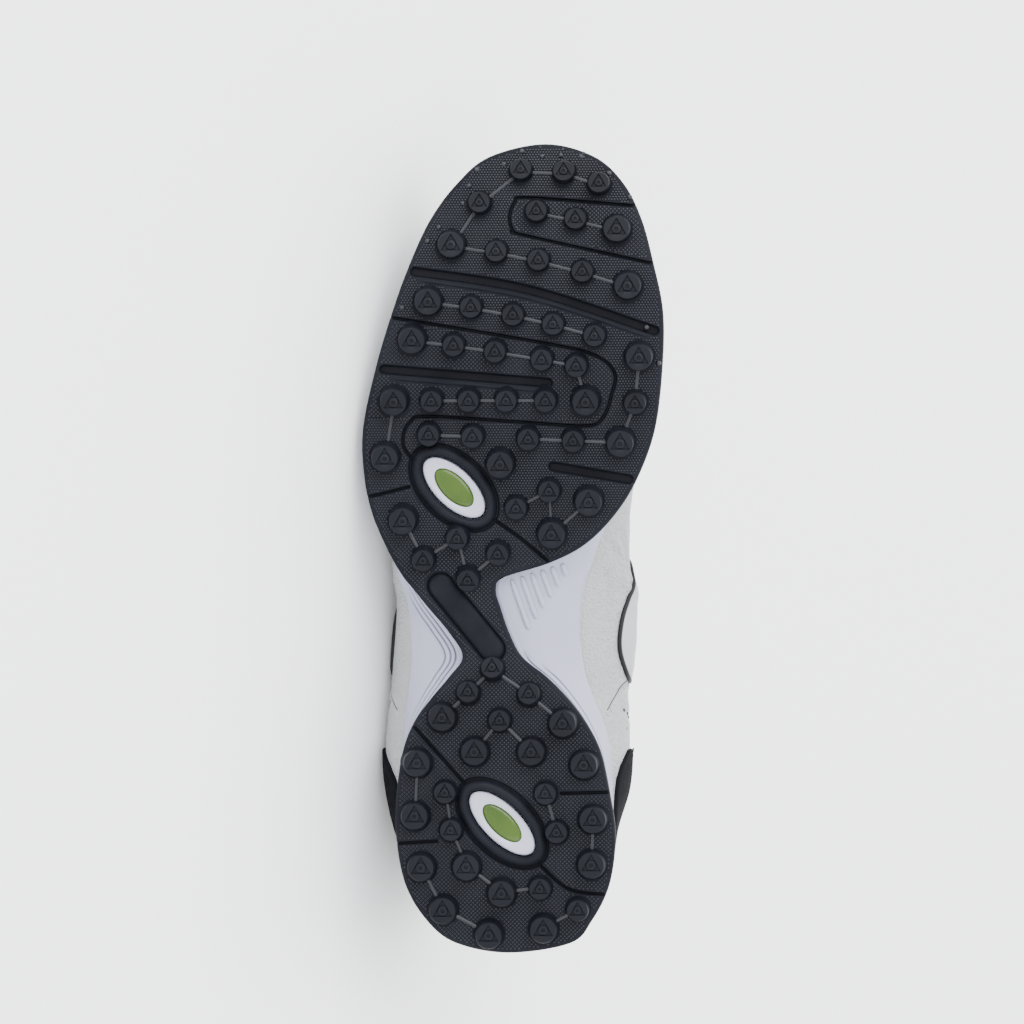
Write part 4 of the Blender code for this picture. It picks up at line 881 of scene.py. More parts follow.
class Workshop:
    """Shared nodes and materials, and the way that a finished mesh becomes a piece."""

    def __init__(self) -> None:
        """Build the shared nodes; materials are made when first asked for."""
        self.nodes = SharedNodes()
        self.made: dict[str, bpy.types.Material] = {}

    def material(self, name: str) -> bpy.types.Material:
        """The material of a finish."""
        if name not in self.made:
            self.made[name] = FINISHES[name].build(self.nodes)
        return self.made[name]

    def mesh(self, name: str, points: np.ndarray, faces: Sequence[Sequence[int]],
             finishes: Sequence[str], zones: np.ndarray | None = None,
             uv: np.ndarray | None = None, marks: dict[str, np.ndarray] | None = None,
             sharp: float = 38.0) -> bpy.types.Object:
        """Piece from points in the shoe's frame.

        Args:
            name: name of the piece.
            points: its points in the standing shoe's frame.
            faces: point indices of each face.
            finishes: names of its finishes.
            zones: index of the finish for each face.
            uv: plan or surface coordinates of each point, in metres.
            marks: values at each point that its finish reads, by name.
            sharp: angle in degrees past which an edge stays sharp.

        Returns:
            The object, in the row frame and at the origin.
        """
        data = raw_mesh(name, points, faces=faces)
        for finish in finishes:
            data.materials.append(self.material(finish))
        if zones is not None:
            data.polygons.foreach_set("material_index", np.asarray(zones, dtype=np.int32))
        if uv is not None:
            layer = data.uv_layers.new(name="surface")
            corner = np.empty(len(data.loops), dtype=np.int32)
            data.loops.foreach_get("vertex_index", corner)
            layer.data.foreach_set("uv", np.asarray(uv, dtype=np.float32)[corner].ravel())
        for label, values in (marks or {}).items():
            layer = data.attributes.new(label, "FLOAT", "POINT")
            layer.data.foreach_set("value", np.asarray(values, dtype=np.float32))
        data.validate()
        data.transform(TO_ROW)
        return self.stand(name, data, sharp)

    @staticmethod
    def stand(name: str, data: bpy.types.Mesh, sharp: float) -> bpy.types.Object:
        """Object of a mesh, smooth except at its sharp edges."""
        data.shade_smooth()
        data.set_sharp_from_angle(angle=math.radians(sharp))
        return in_scene(name, data)

    def grow(self, name: str, tree: bpy.types.NodeTree, base: bpy.types.Mesh,
             values: dict[str, object], finish: str, sharp: float = 38.0) -> bpy.types.Object:
        """Run a Geometry Nodes tree on a base mesh and keep the result as a plain mesh.

        Args:
            name: name of the piece.
            tree: the tree.
            base: points or edges in the shoe's frame.
            values: the tree's inputs by name.
            finish: name of the finish.
            sharp: angle in degrees past which an edge stays sharp.

        Returns:
            The piece, in the row frame.
        """
        seed = in_scene(name + "_base", base)
        modifier = seed.modifiers.new("grow", "NODES")
        modifier.node_group = tree
        sockets = {item.name: item.identifier for item in tree.interface.items_tree
                   if item.in_out == "INPUT"}
        for label, value in {**values, "Finish": self.material(finish)}.items():
            modifier[sockets[label]] = value
        depsgraph = bpy.context.evaluated_depsgraph_get()
        data = bpy.data.meshes.new_from_object(seed.evaluated_get(depsgraph))
        seed.modifiers.remove(modifier)
        bpy.data.objects.remove(seed, do_unlink=True)
        data.name = name
        if not data.materials:
            data.materials.append(self.material(finish))
        data.transform(TO_ROW)
        return self.stand(name, data, sharp)

    def scatter(self, name: str, template: bpy.types.Mesh, points: np.ndarray,
                turns: np.ndarray, finish: str, sharp: float = 38.0,
                sizes: np.ndarray | None = None) -> bpy.types.Object:
        """Piece that repeats a template at points, each with its turn and any size."""
        base = raw_mesh(name + "_points", points)
        sizes = np.ones((len(points), 3)) if sizes is None else sizes
        for label, values in (("turn", turns), ("size", sizes)):
            layer = base.attributes.new(label, "FLOAT_VECTOR", "POINT")
            layer.data.foreach_set("vector", np.asarray(values, dtype=np.float32).ravel())
        holder = in_scene(name + "_template", template)
        piece = self.grow(name, self.nodes.repeat, base, {"Template": holder, "Scale": 1.0},
                          finish, sharp)
        bpy.data.objects.remove(holder, do_unlink=True)
        return piece

    def rails(self, name: str, lines: Sequence[np.ndarray], radius: float, finish: str,
              sides: int = 10, thick: Sequence[np.ndarray] | None = None,
              closed: bool = False) -> bpy.types.Object:
        """Piece of round rails along lines of points."""
        points, edges, widths = [], [], []
        for index, line in enumerate(lines):
            start = len(points)
            points += list(line)
            edges += [(start + k, start + k + 1) for k in range(len(line) - 1)]
            if closed:
                edges.append((start + len(line) - 1, start))
            widths += list(thick[index]) if thick is not None else [1.0] * len(line)
        base = raw_mesh(name + "_lines", points, edges)
        layer = base.attributes.new("thick", "FLOAT", "POINT")
        layer.data.foreach_set("value", np.asarray(widths, dtype=np.float32))
        return self.grow(name, self.nodes.rail, base, {"Radius": radius, "Sides": sides},
                         finish, 60.0)


def publish(piece: bpy.types.Object, slot: Slot, *nodes: str) -> bpy.types.Object:
    """Hand a piece to the frame: it rides on the shoe and may stand for CAD nodes."""
    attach(piece, "root")
    if nodes:
        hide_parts(*nodes)
    LOG.info("%s: %d faces, slot %s", piece.name, len(piece.data.polygons), slot.value)
    return piece


def turns_from(normals: np.ndarray, tangents: np.ndarray) -> np.ndarray:
    """Euler turns that lay X along the tangents and Z along the normals."""
    turns = []
    for normal, tangent in zip(normals, tangents):
        up = Vector(normal).normalized()
        run = Vector(tangent)
        run = (run - up * run.dot(up)).normalized()
        turns.append(Matrix((run, up.cross(run), up)).transposed().to_euler())
    return np.array([tuple(turn) for turn in turns]).reshape(-1, 3)


def lathe_mesh(name: str, profile: Sequence[tuple[float, float]], sides: int) -> bpy.types.Mesh:
    """Closed turned mesh from (radius, height) pairs, from its foot to its top."""
    angles = np.arange(sides) * 2 * math.pi / sides
    points = [(radius * math.cos(a), radius * math.sin(a), height)
              for radius, height in profile for a in angles]
    return raw_mesh(name, points, faces=ring_faces(len(profile), sides))


@dataclass
class Window:
    """A gel window in the outsole."""

    name: str
    along: float
    across: float
    ring: tuple[float, float]
    gel: tuple[float, float]
    turn: float = math.radians(44)

    def oval(self, margin: float, part: str = "ring", scale: float = 1.0,
             sides: int = 72) -> np.ndarray:
        """Plan outline of the ring or the gel with a margin round it."""
        half = getattr(self, part)
        angle = np.arange(sides) * 2 * math.pi / sides
        u = (half[0] * scale + margin) * np.cos(angle)
        v = (half[1] * scale + margin) * np.sin(angle)
        cos, sin = math.cos(self.turn), math.sin(self.turn)
        local = np.stack([u * cos - v * sin, u * sin + v * cos], axis=1)
        return local + SHOE.place(self.along, self.across)

    def margin_of(self, points: np.ndarray) -> np.ndarray:
        """How far outside the ring's outline each plan point lies."""
        local = points - SHOE.place(self.along, self.across)
        cos, sin = math.cos(self.turn), math.sin(self.turn)
        u = np.abs(local[:, 0] * cos + local[:, 1] * sin)
        v = np.abs(local[:, 1] * cos - local[:, 0] * sin)
        low = np.full(len(points), -min(self.ring) * 0.98)
        high = np.full(len(points), 0.4)
        for _ in range(40):
            middle = (low + high) / 2
            out = (u / (self.ring[0] + middle)) ** 2 + (v / (self.ring[1] + middle)) ** 2 > 1
            low = np.where(out, middle, low)
            high = np.where(out, high, middle)
        return (low + high) / 2


WINDOWS = (
    Window("forefoot", 0.573, -0.170, (0.0140, 0.0068), (0.0086, 0.0041)),
    Window("heel", 0.160, -0.010, (0.0150, 0.0066), (0.0086, 0.0038)),
)


@dataclass
class Groove:
    """A groove in the rubber along a smooth plan line."""

    line: np.ndarray
    half: float
    wall: float
    depth: float

    def reach(self, points: np.ndarray) -> np.ndarray:
        """Depth of the groove at plan points."""
        away = distance_to_line(points, self.line)
        return self.depth * np.clip((self.half - away) / self.wall, 0.0, 1.0)

    def traces(self) -> list[np.ndarray]:
        """Lines of its top and bottom edges, as closed loops round its line."""
        loops = []
        for half in (self.half, max(self.half - self.wall, 0.0)):
            if half < 0.00005:
                loops.append(self.line)
                continue
            run = np.gradient(self.line, axis=0)
            side = unit(np.stack([-run[:, 1], run[:, 0]], axis=1)) * half
            caps = []
            for end, way in ((-1, 1.0), (0, -1.0)):
                along = unit(run[end]) * half * way
                turn = np.linspace(0.0, math.pi, 8)[1:-1]
                base = side[end] * way
                caps.append([self.line[end] + base * math.cos(a) + along * math.sin(a)
                             for a in turn])
            loops.append(np.array([*(self.line + side), *caps[0], *(self.line - side)[::-1],
                                   *caps[1], self.line[0] + side[0]]))
        return loops


@dataclass
class Outsole:
    """Rubber outsole with its grooves, window lips, studs, ribs and pips."""

    shop: Workshop
    edge_round: float = 0.0012
    wide_half: float = 0.00185
    wide_depth: float = 0.0014
    thin_half: float = 0.00065
    thin_depth: float = 0.0013
    ridge_radius: float = 0.00095
    ridge_sunk: float = 0.00060
    ridge_away: float = 0.0030
    lattice: float = 0.0023
    stud_radius: dict[str, float] = field(default_factory=lambda: {"S": 0.00385, "L": 0.00475})
    star_tip: float = 0.86
    star_waist: float = 0.46
    star_depth: float = 0.00070
    heel_shift: float = 0.0012
    fore_rake: float = 0.22
    rake_pivot: float = 0.0035
    nub_radius: float = 0.00100
    link_radius: float = 0.00080
    capsule_ends: tuple[tuple[float, float], ...] = ((0.452, -0.215), (0.374, -0.045))
    capsule_half: float = 0.0046
    capsule_profile: tuple[tuple[float, float], ...] = (
        (-0.0016, -0.0004), (-0.0006, 0.0002), (0.0, 0.0009), (0.0006, 0.0))
    hex_pitch: float = 0.00105
    knurl_pitch: float = 0.00105
    lip_profile: tuple[tuple[float, float], ...] = (
        (-0.0002, 0.0009), (0.0003, 0.0006), (0.0008, -0.0009), (0.0013, -0.0014),
        (0.0021, -0.00165), (0.0029, -0.0015), (0.0036, -0.0009), (0.0041, -0.0001),
        (0.0045, 0.0008), (0.0050, 0.0009), (0.0055, 0.0))

    def __post_init__(self) -> None:
        """Lay out the grooves and the studs."""
        wide = []
        for shares in WIDE_GROOVES:
            line = SHOE.line(shares)
            line = open_curve(line, 10) if len(line) > 2 else evenly(line, 0.003)
            wide.append(Groove(line, self.wide_half, 0.0007, self.wide_depth))
        thin = [Groove(open_curve(SHOE.line(shares), 6), self.thin_half, 0.0004,
                       self.thin_depth) for shares in THIN_GROOVES]
        self.grooves = wide + thin
        self.ridges = [groove.line[1:-1] - (0.0, self.ridge_away) for groove in wide[:2]]
        self.capsule_line = evenly(SHOE.line(self.capsule_ends), 0.002)
        heel = [(place + (0.0, self.heel_shift), size) for place, size in self.stud_places(HEEL_STUDS)]
        self.studs = list(self.stud_places(FOREFOOT_STUDS)) + heel
        self.fore_count = sum(len(row[3]) for row in FOREFOOT_STUDS)

    @staticmethod
    def stud_places(rows: Sequence[tuple]) -> Iterable[tuple[np.ndarray, str]]:
        """Plan point and size letter of every stud in the rows."""
        for line in rows:
            row = dict(zip(STUD_COLUMNS, line))
            first, last = row["across"][0], row["across"][-1]
            for spot, size in zip(row["across"], row["sizes"]):
                share = (spot - first) / (last - first) if last > first else 0.0
                along = row["lateral_end"] + (row["medial_end"] - row["lateral_end"]) * share
                yield SHOE.place(along + row["bow"] * 4 * share * (1 - share), spot), size

    def capsule(self, points: np.ndarray) -> np.ndarray:
        """Relief of the plain capsule at the waist: a groove round a raised field."""
        away = distance_to_line(points, self.capsule_line) - self.capsule_half
        return np.interp(away, *zip(*self.capsule_profile))

    def relief(self, points: np.ndarray) -> np.ndarray:
        """Height over the base at plan points: grooves are positive, lips negative."""
        depth = np.zeros(len(points))
        for groove in self.grooves:
            depth = np.maximum(depth, groove.reach(points))
        bulge = self.capsule(points)
        depth = np.where(np.abs(bulge) > 1e-9, bulge, depth)
        knots, heights = zip(*self.lip_profile)
        for pod in WINDOWS:
            margin = pod.margin_of(points)
            lip = np.interp(margin, knots, heights)
            near = margin < knots[-1]
            depth = np.where(near, np.where(lip > 0, np.maximum(lip, depth), lip), depth)
        return depth

    def sketch(self, edge: np.ndarray) -> tuple[np.ndarray, np.ndarray]:
        """Triangulate the face between the studs.

        Args:
            edge: outer outline of the flat face.

        Returns:
            Plan points and the triangles on them.
        """
        points: list[np.ndarray] = []
        edges: list[tuple[int, int]] = []

        def trace(line: np.ndarray, closed: bool) -> None:
            """Add a line that the triangles have to follow."""
            start = len(points)
            points.extend(line)
            edges.extend((start + k, start + k + 1) for k in range(len(line) - 1))
            if closed:
                edges.append((start + len(line) - 1, start))

        trace(edge, True)
        lip_knots = [knot for knot, _ in self.lip_profile[1:]]
        for pod in WINDOWS:
            for margin in lip_knots:
                trace(pod.oval(margin), True)
        for groove in self.grooves:
            for line in groove.traces():
                trace(line, False)
        for margin, _ in self.capsule_profile:
            ring = Groove(self.capsule_line, self.capsule_half + margin, 0.001, 0.0)
            trace(ring.traces()[0], False)
        features = np.array(points)
        low, high = edge.min(axis=0), edge.max(axis=0)
        xs = np.arange(low[0], high[0], self.lattice)
        ys = np.arange(low[1], high[1], self.lattice * 0.866)
        x, y = np.meshgrid(xs, ys)
        x = x + (np.arange(len(ys)) % 2)[:, None] * self.lattice / 2
        seeds = np.stack([x.ravel(), y.ravel()], axis=1)
        seeds = seeds[inside_loop(seeds, inset(edge, 0.0008))]
        clear = np.ones(len(seeds), dtype=bool)
        for chunk in range(0, len(features), 400):
            away = seeds[:, None, :] - features[None, chunk:chunk + 400, :]
            clear &= (np.abs(away).max(axis=2) > 0.0006).all(axis=1)
        points.extend(seeds[clear])
        made, _, triangles, *_ = delaunay_2d_cdt([Vector(p) for p in points], edges, [], 0,
                                                 1e-6, False)
        plan = np.array([tuple(p) for p in made])
        triangles = np.array([t for t in triangles if len(t) == 3])
        centres = plan[triangles].mean(axis=1)
        keep = inside_loop(centres, edge)
        for pod in WINDOWS:
            keep &= ~inside_loop(centres, pod.oval(lip_knots[0]))
        return plan, triangles[keep]

    @staticmethod
    def border_loops(triangles: np.ndarray) -> list[list[int]]:
        """Loops of border points, in the way that the triangles' edges run."""
        once: dict[tuple[int, int], int] = {}
        for a, b, c in triangles:
            for pair in ((a, b), (b, c), (c, a)):
                once[pair] = once.get(pair, 0) + 1
        follow = {a: b for a, b in once if (b, a) not in once}
        loops = []
        while follow:
            start = next(iter(follow))
            loop = [start]
            point = follow.pop(start)
            while point != start and point in follow:
                loop.append(point)
                point = follow.pop(point)
            loops.append(loop)
        return loops

    def build_plate(self) -> bpy.types.Object:
        """Plate with grooves and lips, closed by its rim and inner face."""
        edge = inset(SHOE.sole_edge(), self.edge_round)
        plan, triangles = self.sketch(edge)
        used, inverse = np.unique(triangles, return_inverse=True)
        plan = plan[used]
        triangles = inverse.reshape(-1, 3)
        depth = self.relief(plan)
        points = [np.column_stack([plan, SHOE.base(plan[:, 1]) + depth])]
        faces = [tuple(t[::-1]) for t in triangles]
        total = len(plan)
        inner_loops = []
        # Painted shade: the rubber's colour darkens with the depth of its grooves
        score = [np.clip(depth / self.thin_depth, 0.0, 1.0) * 0.9]
        for loop in self.border_loops(triangles):
            ring = plan[loop]
            outer = len(loop) > 300 or np.ptp(ring[:, 1]) > 0.1
            out = outward(ring) if outer else np.zeros_like(ring)
            before = np.array(loop)
            for reach, height, kind in self.rim_rings(outer):
                shifted = ring + out * reach
                level = {"base": SHOE.base, "rim": SHOE.rim, "plate": SHOE.plate}[kind](ring[:, 1])
                sunk = depth[loop] * (1.0 if kind == "base" else 0.0)
                points.append(np.column_stack([shifted, level + height + sunk]))
                # The same painted shade where a groove runs into the rounded edge
                score.append(np.clip(sunk / self.thin_depth, 0.0, 1.0))
                here = np.arange(total, total + len(loop))
                total += len(loop)
                for k in range(len(loop)):
                    n = (k + 1) % len(loop)
                    faces.append((before[k], before[n], here[n], here[k]))
                before = here
            inner_loops.append((ring + out * (self.edge_round - SHOE.rim_wall), before))
        faces += self.inner_face(inner_loops)
        all_points = np.concatenate(points)
        uv = all_points[:, :2]
        return self.shop.mesh("outsole_plate", all_points, faces, ["rubber"], uv=uv,
                              marks={"score": np.concatenate(score)})

    def rim_rings(self, outer: bool) -> list[tuple[float, float, str]]:
        """Rings from the face's border to the inner face: reach, height and base."""
        if not outer:
            return [(0.0, 0.0, "plate")]
        rings = []
        for angle in (22, 45, 68, 90):
            turn = math.radians(angle)
            rings.append((self.edge_round * math.sin(turn),
                          self.edge_round * (1 - math.cos(turn)), "base"))
        rim_round = 0.0004
        rings.append((self.edge_round, -rim_round, "rim"))
        rings.append((self.edge_round - rim_round, 0.0, "rim"))
        inner = self.edge_round - SHOE.rim_wall
        rings.append((inner, 0.0, "rim"))
        rings.append((inner, 0.0, "plate"))
        return rings

    @staticmethod
    def inner_face(loops: list[tuple[np.ndarray, np.ndarray]]) -> list[tuple[int, ...]]:
        """Triangles of the plate's inner face between its border loops."""
        points: list[Vector] = []
        edges: list[tuple[int, int]] = []
        index: list[int] = []
        for ring, ids in loops:
            start = len(points)
            points += [Vector(p) for p in ring]
            index += list(ids)
            edges += [(start + k, start + (k + 1) % len(ring)) for k in range(len(ring))]
        made, _, triangles, origin, *_ = delaunay_2d_cdt(points, edges, [], 0, 1e-7, True)
        plan = np.array([tuple(p) for p in made])
        faces = []
        big = max(loops, key=lambda item: len(item[0]))[0]
        for triangle in triangles:
            if not all(origin[k] for k in triangle):
                continue
            centre = plan[list(triangle)].mean(axis=0)[None, :]
            if not inside_loop(centre, big)[0]:
                continue
            if any(inside_loop(centre, ring)[0] for ring, _ in loops if ring is not big):
                continue
            faces.append(tuple(index[origin[k][0]] for k in triangle))
        return faces

    def stud_template(self, rake: float) -> bpy.types.Mesh:
        """Stud of radius 1 and real height, with a sunk three-pointed star in its face.

        Args:
            rake: how far its face lies towards the heel, as a share of its height.

        Returns:
            The stud's mesh.
        """
        sides = 48
        height = SHOE.stud_height
        angle = np.arange(sides) * 2 * math.pi / sides
        turn = (angle - math.pi / 2) % (2 * math.pi / 3)
        turn = np.minimum(turn, 2 * math.pi / 3 - turn)
        star = (self.star_tip * self.star_waist * math.sin(math.pi / 3)
                / (self.star_tip * np.sin(turn) + self.star_waist * np.sin(math.pi / 3 - turn)))
        floor = -(height - self.star_depth)
        even = np.ones(sides)
        boss = np.minimum(0.40, star - 0.10)
        rings = [(even * 1.34, 0.0008), (even * 1.20, 0.0), (even * 1.12, -0.0006),
                 (even * 1.075, -0.0015), (even * 1.01, -(height - 0.0006)),
                 (even * 0.985, -(height - 0.0002)), (even * 0.945, -height),
                 (star, -height), (star - 0.02, -(height - 0.00006)), (star - 0.07, floor),
                 (boss, floor), (np.minimum(0.36, boss - 0.02), -(height - 0.00012)),
                 (np.minimum(0.32, boss - 0.04), -(height - 0.00004)), (even * 0.14, -height),
                 (even * 0.10, -(height - 0.0004))]
        points = []
        for radius, level in rings:
            points += list(zip(radius * np.cos(angle), radius * np.sin(angle), even * level))
        tip = len(points)
        points.append((0.0, 0.0, -(height - 0.00045)))
        points = [(x, y + rake * (self.rake_pivot + z) / self.stud_radius["S"], z)
                  for x, y, z in points]
        faces = ring_faces(len(rings), sides, flip=True)[:-1]
        last = tip - sides
        faces += [(last + (step + 1) % sides, last + step, tip) for step in range(sides)]
        return raw_mesh("stud_template", points, faces=faces)

    def seats(self, plan: np.ndarray, sunk: float = 0.0) -> tuple[np.ndarray, np.ndarray]:
        """Points on the rubber's face and the turns that follow its slope."""
        step = 0.003
        slope = (SHOE.base(plan[:, 1] + step) - SHOE.base(plan[:, 1] - step)) / (2 * step)
        points = np.column_stack([plan, SHOE.base(plan[:, 1]) + sunk])
        turns = np.column_stack([np.arctan(slope), np.zeros(len(plan)), np.zeros(len(plan))])
        return points, turns

    def build_studs(self) -> list[bpy.types.Object]:
        """All studs, each at its own size, raked back in the forefoot."""
        plan = np.array([place for place, _ in self.studs])
        radii = np.array([self.stud_radius[size] for _, size in self.studs])
        points, turns = self.seats(plan)
        sizes = np.column_stack([radii, radii, np.ones(len(radii))])
        fore = np.arange(len(plan)) < self.fore_count
        pieces = []
        for name, pick, rake in (("forefoot_studs", fore, self.fore_rake),
                                 ("heel_studs", ~fore, 0.0)):
            pieces.append(self.shop.scatter(name, self.stud_template(rake), points[pick],
                                            turns[pick], "stud", 30.0, sizes[pick]))
        return pieces

    def build_links(self) -> bpy.types.Object:
        """Thin ribs between neighbouring studs."""
        lines = []
        for links, shift in ((FOREFOOT_LINKS, 0), (HEEL_LINKS, self.fore_count)):
            for first, second in links:
                start, size_a = self.studs[first - 1 + shift]
                end, size_b = self.studs[second - 1 + shift]
                run = unit(end - start)
                a = start + run * self.stud_radius[size_a] * 0.9
                b = end - run * self.stud_radius[size_b] * 0.9
                line = evenly(np.array([a, b]), 0.0015)
                lines.append(np.column_stack([line, SHOE.base(line[:, 1]) + 0.0001]))
        # The ribs take the rubber painted lighter: painted highlight
        return self.shop.rails("stud_links", lines, self.link_radius, "tread", 8)

    def build_ridges(self) -> bpy.types.Object:
        """Low rounded ridges on the heel side of the two long flex grooves."""
        lines, widths = [], []
        for plan in self.ridges:
            line = evenly(plan, 0.002)
            lines.append(np.column_stack([line, SHOE.base(line[:, 1]) + self.ridge_sunk]))
            ends = np.minimum(np.arange(len(line)), np.arange(len(line))[::-1])
            widths.append(0.7 + 0.3 * np.minimum(ends / 2.0, 1.0))
        return self.shop.rails("groove_ridges", lines, self.ridge_radius, "rubber", 16, widths)

    def free_of_features(self, plan: np.ndarray, room: float) -> np.ndarray:
        """Whether plan points keep clear of studs, grooves, windows and the capsule."""
        free = np.ones(len(plan), dtype=bool)
        for place, size in self.studs:
            free &= np.linalg.norm(plan - place, axis=1) > self.stud_radius[size] * 1.16 + room
        for groove in self.grooves:
            free &= distance_to_line(plan, groove.line) > groove.half + room
        for ridge in self.ridges:
            free &= distance_to_line(plan, ridge) > self.ridge_radius + room
        for pod in WINDOWS:
            free &= pod.margin_of(plan) > 0.0056 + room
        free &= distance_to_line(plan, self.capsule_line) > self.capsule_half + 0.0006 + room
        return free

    def lattice_points(self, pitch: float, turned: bool) -> np.ndarray:
        """Plan lattice over the rubber's face, in hexagons or in a turned square."""
        edge = inset(SHOE.sole_edge(), self.edge_round + 0.0003)
        low, high = edge.min(axis=0), edge.max(axis=0)
        reach = float(max(high - low)) / 2 + pitch
        count = int(2.9 * reach / pitch)
        index = np.arange(-count // 2, count // 2 + 1)
        i, k = np.meshgrid(index, index)
        if turned:
            local = np.stack([(i - k) * pitch * 0.7071, (i + k) * pitch * 0.7071], axis=-1)
        else:
            local = np.stack([(i + 0.5 * (k % 2)) * pitch, k * pitch * 0.866], axis=-1)
        plan = local.reshape(-1, 2) + (low + high) / 2
        return plan[inside_loop(plan, edge)]

    def build_pips(self) -> list[bpy.types.Object]:
        """Hexagonal pips over the forefoot and a diamond knurl elsewhere."""
        ball = 0.500 * SHOE.length
        panels = [SHOE.line(panel) for panel in PANELS]

        def hex_zone(plan: np.ndarray) -> np.ndarray:
            """Whether plan points lie in the hexagonal zone."""
            zone = plan[:, 1] > ball
            for panel in panels:
                zone &= ~inside_loop(plan, panel)
            return zone

        pieces = []
        for name, pitch, turned, sides, radius, height in (
                ("forefoot_pips", self.hex_pitch, False, 6, 0.00044, 0.00034),
                ("knurled_tread", self.knurl_pitch, True, 4, 0.00050, 0.00026)):
            plan = self.lattice_points(pitch, turned)
            plan = plan[hex_zone(plan) != turned]
            plan = plan[self.free_of_features(plan, radius)]
            template = lathe_mesh(name, [(radius, 0.00012), (radius * 0.66, -height)], sides)
            template.flip_normals()
            # The pips and knurl take the rubber painted lighter: painted highlight
            pieces.append(self.shop.scatter(name, template, *self.seats(plan), "tread", 20.0))
        return pieces

    def build_nubs(self) -> bpy.types.Object:
        """Small round bumps round the toe, on the face and on its rounded edge."""
        seats = self.seats(SHOE.line(TOE_NUBS))
        rim_seats = self.seats(SHOE.line(TOE_RIM_NUBS), self.edge_round * 0.8)
        profile = [(self.nub_radius * math.cos(a), -self.nub_radius * math.sin(a))
                   for a in np.linspace(-0.4, 1.45, 8)]
        template = lathe_mesh("nub", profile, 16)
        template.flip_normals()
        both = [np.concatenate(pair) for pair in zip(seats, rim_seats)]
        # The nubs take the rubber painted lighter: painted highlight
        return self.shop.scatter("toe_nubs", template, *both, "tread")

    def build(self) -> None:
        """Build and publish every piece of the outsole."""
        publish(self.build_plate(), Slot.RUBBER, "outsole")
        for piece in (*self.build_studs(), self.build_links(), self.build_ridges(),
                      *self.build_pips(), self.build_nubs()):
            publish(piece, Slot.RUBBER)


@dataclass
class WindowPieces:
    """White rings and green gels of the windows."""

    shop: Workshop
    ring_profile: tuple[tuple[float, float], ...] = (
        (0.0, 0.0009), (-0.0002, 0.0005), (-0.0006, 0.0003), (-0.0014, 0.0004))
    dome: tuple[tuple[float, float], ...] = (
        (0.96, 0.0010), (0.86, 0.00078), (0.7, 0.00062), (0.5, 0.00052), (0.28, 0.00048),
        (0.08, 0.00046))

    def loft(self, name: str, rings: Sequence[np.ndarray], finish: str,
             tube: bool) -> bpy.types.Object:
        """Piece through rings of points; a tube joins its last ring to its first."""
        faces = ring_faces(len(rings), len(rings[0]), flip=True, tube=tube)
        return self.shop.mesh(name, np.concatenate(rings), faces, [finish])

    def build(self) -> None:
        """Build and publish both windows."""
        def ring3(plan: np.ndarray, rise: float, kind: str = "base") -> np.ndarray:
            """Plan ring set at a height over the face or the inner face."""
            level = SHOE.base(plan[:, 1]) if kind == "base" else SHOE.plate(plan[:, 1])
            return np.column_stack([plan, level + rise])

        for pod in WINDOWS:
            rings = [ring3(pod.oval(0.0), 0.0, "plate")]
            rings += [ring3(pod.oval(margin), rise) for margin, rise in self.ring_profile]
            inner = pod.oval(0.0003, "gel")
            middle = (pod.oval(self.ring_profile[-1][0]) + inner) / 2
            rings += [ring3(middle, 0.0006), ring3(inner, 0.0010), ring3(inner, 0.0, "plate")]
            ring = self.loft(pod.name + "_window_white", rings, "ring", True)
            publish(ring, Slot.FOAM, pod.name + "_window_ring")
            foot = pod.oval(0.0002, "gel")
            domes = [ring3(foot, 0.0, "plate"), ring3(foot, 0.0014)]
            domes += [ring3(pod.oval(0.0, "gel", scale), rise) for scale, rise in self.dome]
            gel = self.loft(pod.name + "_window_green", domes, "gel", False)
            publish(gel, Slot.GEL, pod.name + "_window_gel")


